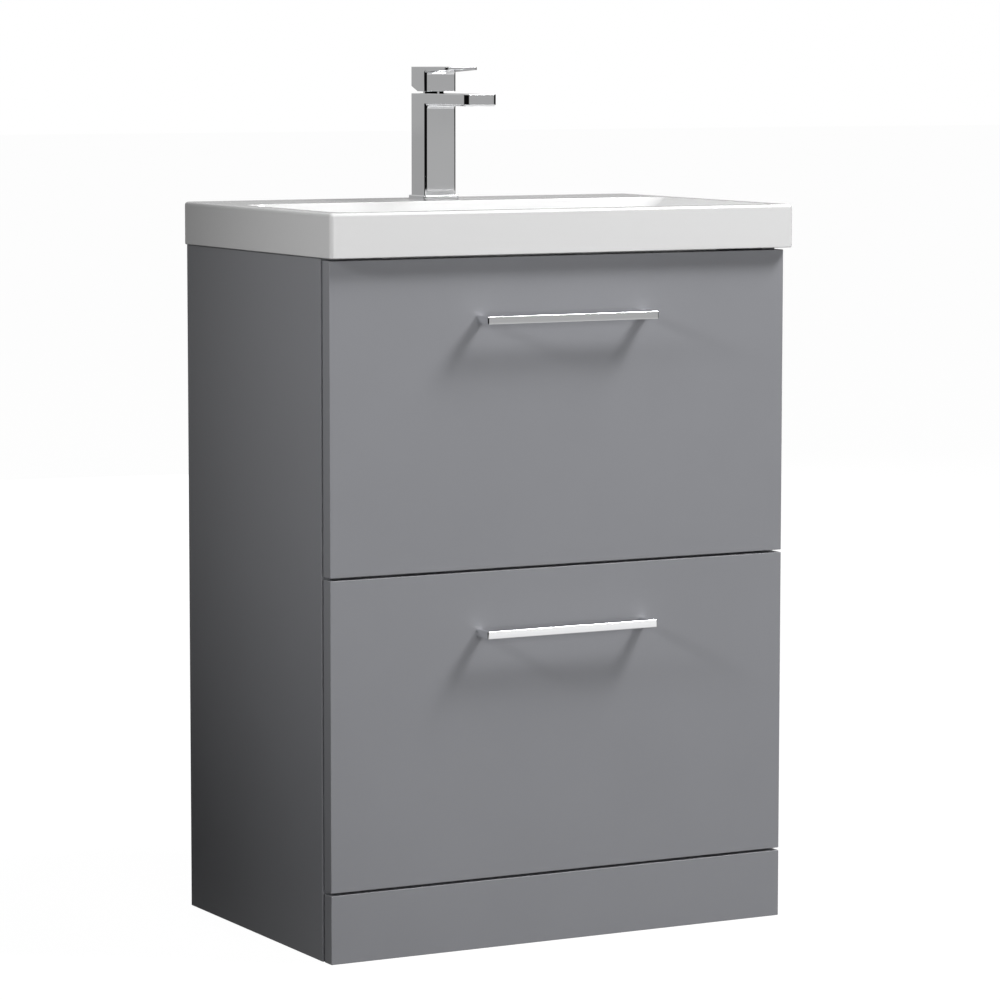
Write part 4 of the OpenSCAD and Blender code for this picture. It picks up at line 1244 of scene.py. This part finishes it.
@dataclass
class Studio:
    """The pale floor, the soft lights and the camera."""

    lens: float = 153.17316
    sensor: float = 36.0
    camera_place: Triple = (-2.38669, -4.45782, 1.04632)
    yaw: float = -28.31
    pitch: float = -6.16
    roll: float = 0.05
    floor_glow: float = 0.98
    floor_bounce: float = 0.12
    ambient: float = 0.03
    mirror_way: tuple[float, float] = (0.472, -0.881)
    lit_white: float = 0.08
    spot_softness: float = 0.15
    flag_level: float = 0.01
    # Painted dark patches that stand in for the reflections of black flags.
    flags: Sequence[Flag] = (Flag((-0.883, -0.469), 0.12, 0.24), Flag((0.999, -0.044), 0.62, 0.74))
    # The floor's level for glossy rays, along mirror_way: painted pools of light in front and to the right,
    # and a painted shadow of the cabinet just behind it to the left (the 0.03 stop).
    floor_pools: Stops = (
        (-9.0, 0.37), (-4.5, 0.22), (-0.8, 0.03), (0.8, 0.6), (3.4, 1.0), (6.8, 0.58), (10.0, 0.44))
    flag_reach: tuple[float, float] = (2.0, 3.2)
    flag_rise: tuple[float, float] = (0.95, 0.985)
    room_levels: Stops = ((-0.1, 0.4), (0.15, 0.45), (0.6, 0.9), (0.9, 1.0))

    def build(self) -> None:
        """Sets up the camera, the lights, the floor and the surroundings."""
        self._camera()
        self._floor()
        self._world()
        self._soft_box(KEY, True)
        for lamp in FILLS:
            self._soft_box(lamp, False)
        self._spot(SPOT)
        bpy.context.scene.view_settings.view_transform = "Standard"

    def _camera(self) -> None:
        """Places the camera."""
        data = bpy.data.cameras.new("camera")
        data.sensor_width = self.sensor
        data.lens = self.lens
        data.clip_end = 200.0
        camera = bpy.data.objects.new("camera", data)
        bpy.context.scene.collection.objects.link(camera)
        yaw = Matrix.Rotation(math.radians(self.yaw), 4, "Z")
        pitch = Matrix.Rotation(math.radians(90 + self.pitch), 4, "X")
        roll = Matrix.Rotation(math.radians(self.roll), 4, "Z")
        camera.matrix_world = Matrix.Translation(self.camera_place) @ yaw @ pitch @ roll
        bpy.context.scene.camera = camera

    @staticmethod
    def _soft_box(lamp: Lamp, mirrored: bool) -> None:
        """Adds a square soft light.

        Args:
            lamp: the light.
            mirrored: whether polished surfaces show it.
        """
        data = bpy.data.lights.new(lamp.name, "AREA")
        data.size = lamp.spread
        lamp.hang(data).visible_glossy = mirrored

    def _spot(self, lamp: Lamp) -> None:
        """Adds a soft spotlight whose beam fades evenly from its middle.

        Args:
            lamp: the light.
        """
        data = bpy.data.lights.new(lamp.name, "SPOT")
        data.spot_size = math.radians(lamp.spread)
        data.spot_blend = 1.0
        data.shadow_soft_size = self.spot_softness
        lamp.hang(data)

    @staticmethod
    def _by_ray(tree: Tree, eye: Socket, gloss: Socket, soft: Socket) -> Socket:
        """Chooses a shader by the ray that meets it.

        Args:
            tree: the tree to add to.
            eye: the shader that the camera sees.
            gloss: the shader that glossy reflections see.
            soft: the shader that lights everything else.

        Returns:
            The chosen shader's socket.
        """
        path = tree.nodes.new("ShaderNodeLightPath")
        shiny = tree.nodes.new("ShaderNodeMixShader")
        tree.links.new(path.outputs["Is Glossy Ray"], shiny.inputs[0])
        tree.links.new(soft, shiny.inputs[1])
        tree.links.new(gloss, shiny.inputs[2])
        seen = tree.nodes.new("ShaderNodeMixShader")
        tree.links.new(path.outputs["Is Camera Ray"], seen.inputs[0])
        tree.links.new(shiny.outputs[0], seen.inputs[1])
        tree.links.new(eye, seen.inputs[2])
        return seen.outputs[0]

    @staticmethod
    def _ramp(tree: Tree, value: Socket, low: float, high: float, stops: Stops) -> Socket:
        """Reads a grey level off a ramp.

        Args:
            tree: the tree to add to.
            value: the socket that is read.
            low: the value at the ramp's start.
            high: the value at its end.
            stops: each stop's value and grey level, in order.

        Returns:
            The grey level's socket.
        """
        spread = tree.nodes.new("ShaderNodeMapRange")
        spread.inputs["From Min"].default_value = low
        spread.inputs["From Max"].default_value = high
        tree.links.new(value, spread.inputs["Value"])
        ramp = tree.nodes.new("ShaderNodeValToRGB")
        ramp.color_ramp.interpolation = "EASE"
        while len(ramp.color_ramp.elements) < len(stops):
            ramp.color_ramp.elements.new(0.5)
        for place, (at, level) in enumerate(stops):
            element = ramp.color_ramp.elements[place]
            element.position = (at - low) / (high - low)
            element.color = (level, level, level, 1.0)
        tree.links.new(spread.outputs[0], ramp.inputs[0])
        return ramp.outputs[0]

    def _flagged(self, tree: Tree, way: Socket, colour: Socket, span: tuple[float, float]) -> Socket:
        """Darkens a level with painted dark patches, the painted reflections of black flags beside the object.

        Args:
            tree: the tree to add to.
            way: the place or direction that is looked at.
            colour: the level there.
            span: the level lengths of that place between which the flags fade in.

        Returns:
            The darkened level's socket.
        """
        flat = tree.nodes.new("ShaderNodeVectorMath")
        flat.operation = "MULTIPLY"
        flat.inputs[1].default_value = (1.0, 1.0, 0.0)
        tree.links.new(way, flat.inputs[0])
        unit = tree.nodes.new("ShaderNodeVectorMath")
        unit.operation = "NORMALIZE"
        tree.links.new(flat.outputs[0], unit.inputs[0])
        reach = tree.nodes.new("ShaderNodeVectorMath")
        reach.operation = "LENGTH"
        tree.links.new(flat.outputs[0], reach.inputs[0])
        near = tree.nodes.new("ShaderNodeMapRange")
        near.inputs["From Min"].default_value = span[0]
        near.inputs["From Max"].default_value = span[1]
        near.inputs["To Min"].default_value = 1.0
        near.inputs["To Max"].default_value = 0.0
        tree.links.new(reach.outputs["Value"], near.inputs["Value"])
        for flag in self.flags:
            toward = tree.nodes.new("ShaderNodeVectorMath")
            toward.operation = "DOT_PRODUCT"
            toward.inputs[1].default_value = (*flag.way, 0.0)
            tree.links.new(unit.outputs[0], toward.inputs[0])
            stops = ((-1.0, 1.0), (flag.clear, 1.0), (flag.black, self.flag_level), (1.0, self.flag_level))
            shade = self._ramp(tree, toward.outputs["Value"], -1.0, 1.0, stops)
            both = tree.nodes.new("ShaderNodeVectorMath")
            both.operation = "MULTIPLY"
            tree.links.new(colour, both.inputs[0])
            tree.links.new(add_math(tree, "MAXIMUM", shade, near.outputs[0]), both.inputs[1])
            colour = both.outputs[0]
        return colour

    def _floor(self) -> None:
        """Lays the pale floor; polished parts mirror it as painted pools of light, with a painted shadow of
        the cabinet near its back left.
        """
        clear_bench()
        bpy.ops.mesh.primitive_plane_add(size=80, location=(0, 0, 0))
        floor = bpy.context.active_object
        floor.name = "floor"
        material = bpy.data.materials.new("pale_floor")
        material.use_nodes = True
        tree = material.node_tree
        tree.nodes.clear()
        out = tree.nodes.new("ShaderNodeOutputMaterial")
        glow = tree.nodes.new("ShaderNodeEmission")
        glow.inputs["Strength"].default_value = self.floor_glow
        lit = tree.nodes.new("ShaderNodeBsdfDiffuse")
        lit.inputs["Color"].default_value = (*[self.lit_white] * 3, 1)
        eye = tree.nodes.new("ShaderNodeAddShader")
        tree.links.new(glow.outputs[0], eye.inputs[0])
        tree.links.new(lit.outputs[0], eye.inputs[1])
        soft = tree.nodes.new("ShaderNodeBsdfDiffuse")
        soft.inputs["Color"].default_value = (*[self.floor_bounce] * 3, 1)
        toward = tree.nodes.new("ShaderNodeVectorMath")
        toward.operation = "DOT_PRODUCT"
        toward.inputs[1].default_value = (*self.mirror_way, 0.0)
        place = tree.nodes.new("ShaderNodeTexCoord").outputs["Object"]
        tree.links.new(place, toward.inputs[0])
        pool = tree.nodes.new("ShaderNodeEmission")
        # Painted pools of light and a painted shadow of the cabinet, in the floor as glossy rays see it.
        pools = self._ramp(tree, toward.outputs["Value"], -12.0, 12.0, self.floor_pools)
        tree.links.new(self._flagged(tree, place, pools, self.flag_reach), pool.inputs["Color"])
        surface = self._by_ray(tree, eye.outputs[0], pool.outputs[0], soft.outputs[0])
        tree.links.new(surface, out.inputs["Surface"])
        floor.data.materials.append(material)

    def _world(self) -> None:
        """Surrounds the object with a grey room, white to the eye."""
        world = bpy.data.worlds.new("studio")
        bpy.context.scene.world = world
        world.use_nodes = True
        tree = world.node_tree
        tree.nodes.clear()
        out = tree.nodes.new("ShaderNodeOutputWorld")
        way = tree.nodes.new("ShaderNodeTexCoord").outputs["Generated"]
        split = tree.nodes.new("ShaderNodeSeparateXYZ")
        tree.links.new(way, split.inputs[0])
        walls = tree.nodes.new("ShaderNodeBackground")
        levels = self._ramp(tree, split.outputs["Z"], -1.0, 1.0, self.room_levels)
        # Painted dark patches of the black flags, in the surroundings that polished parts mirror.
        tree.links.new(self._flagged(tree, way, levels, self.flag_rise), walls.inputs["Color"])
        ambient = tree.nodes.new("ShaderNodeBackground")
        ambient.inputs["Strength"].default_value = self.ambient
        white = tree.nodes.new("ShaderNodeBackground")
        white.inputs["Color"].default_value = (1, 1, 1, 1)
        surroundings = self._by_ray(tree, white.outputs[0], walls.outputs[0], ambient.outputs[0])
        tree.links.new(surroundings, out.inputs["Surface"])


def main() -> None:
    """Builds the sub-assemblies in order, then the studio."""
    logging.basicConfig(level=logging.INFO, format="%(name)s %(message)s")
    kit = ShaderKit()
    shop = Workshop({finish.name: finish.build(kit) for finish in FINISHES})
    Carcass(shop).build()
    for level in LEVELS:
        Drawer(shop, level).build()
    Basin(shop).build()
    Waste(shop).build()
    Tap(shop).build()
    Studio().build()


if __name__ == "__main__":
    main()
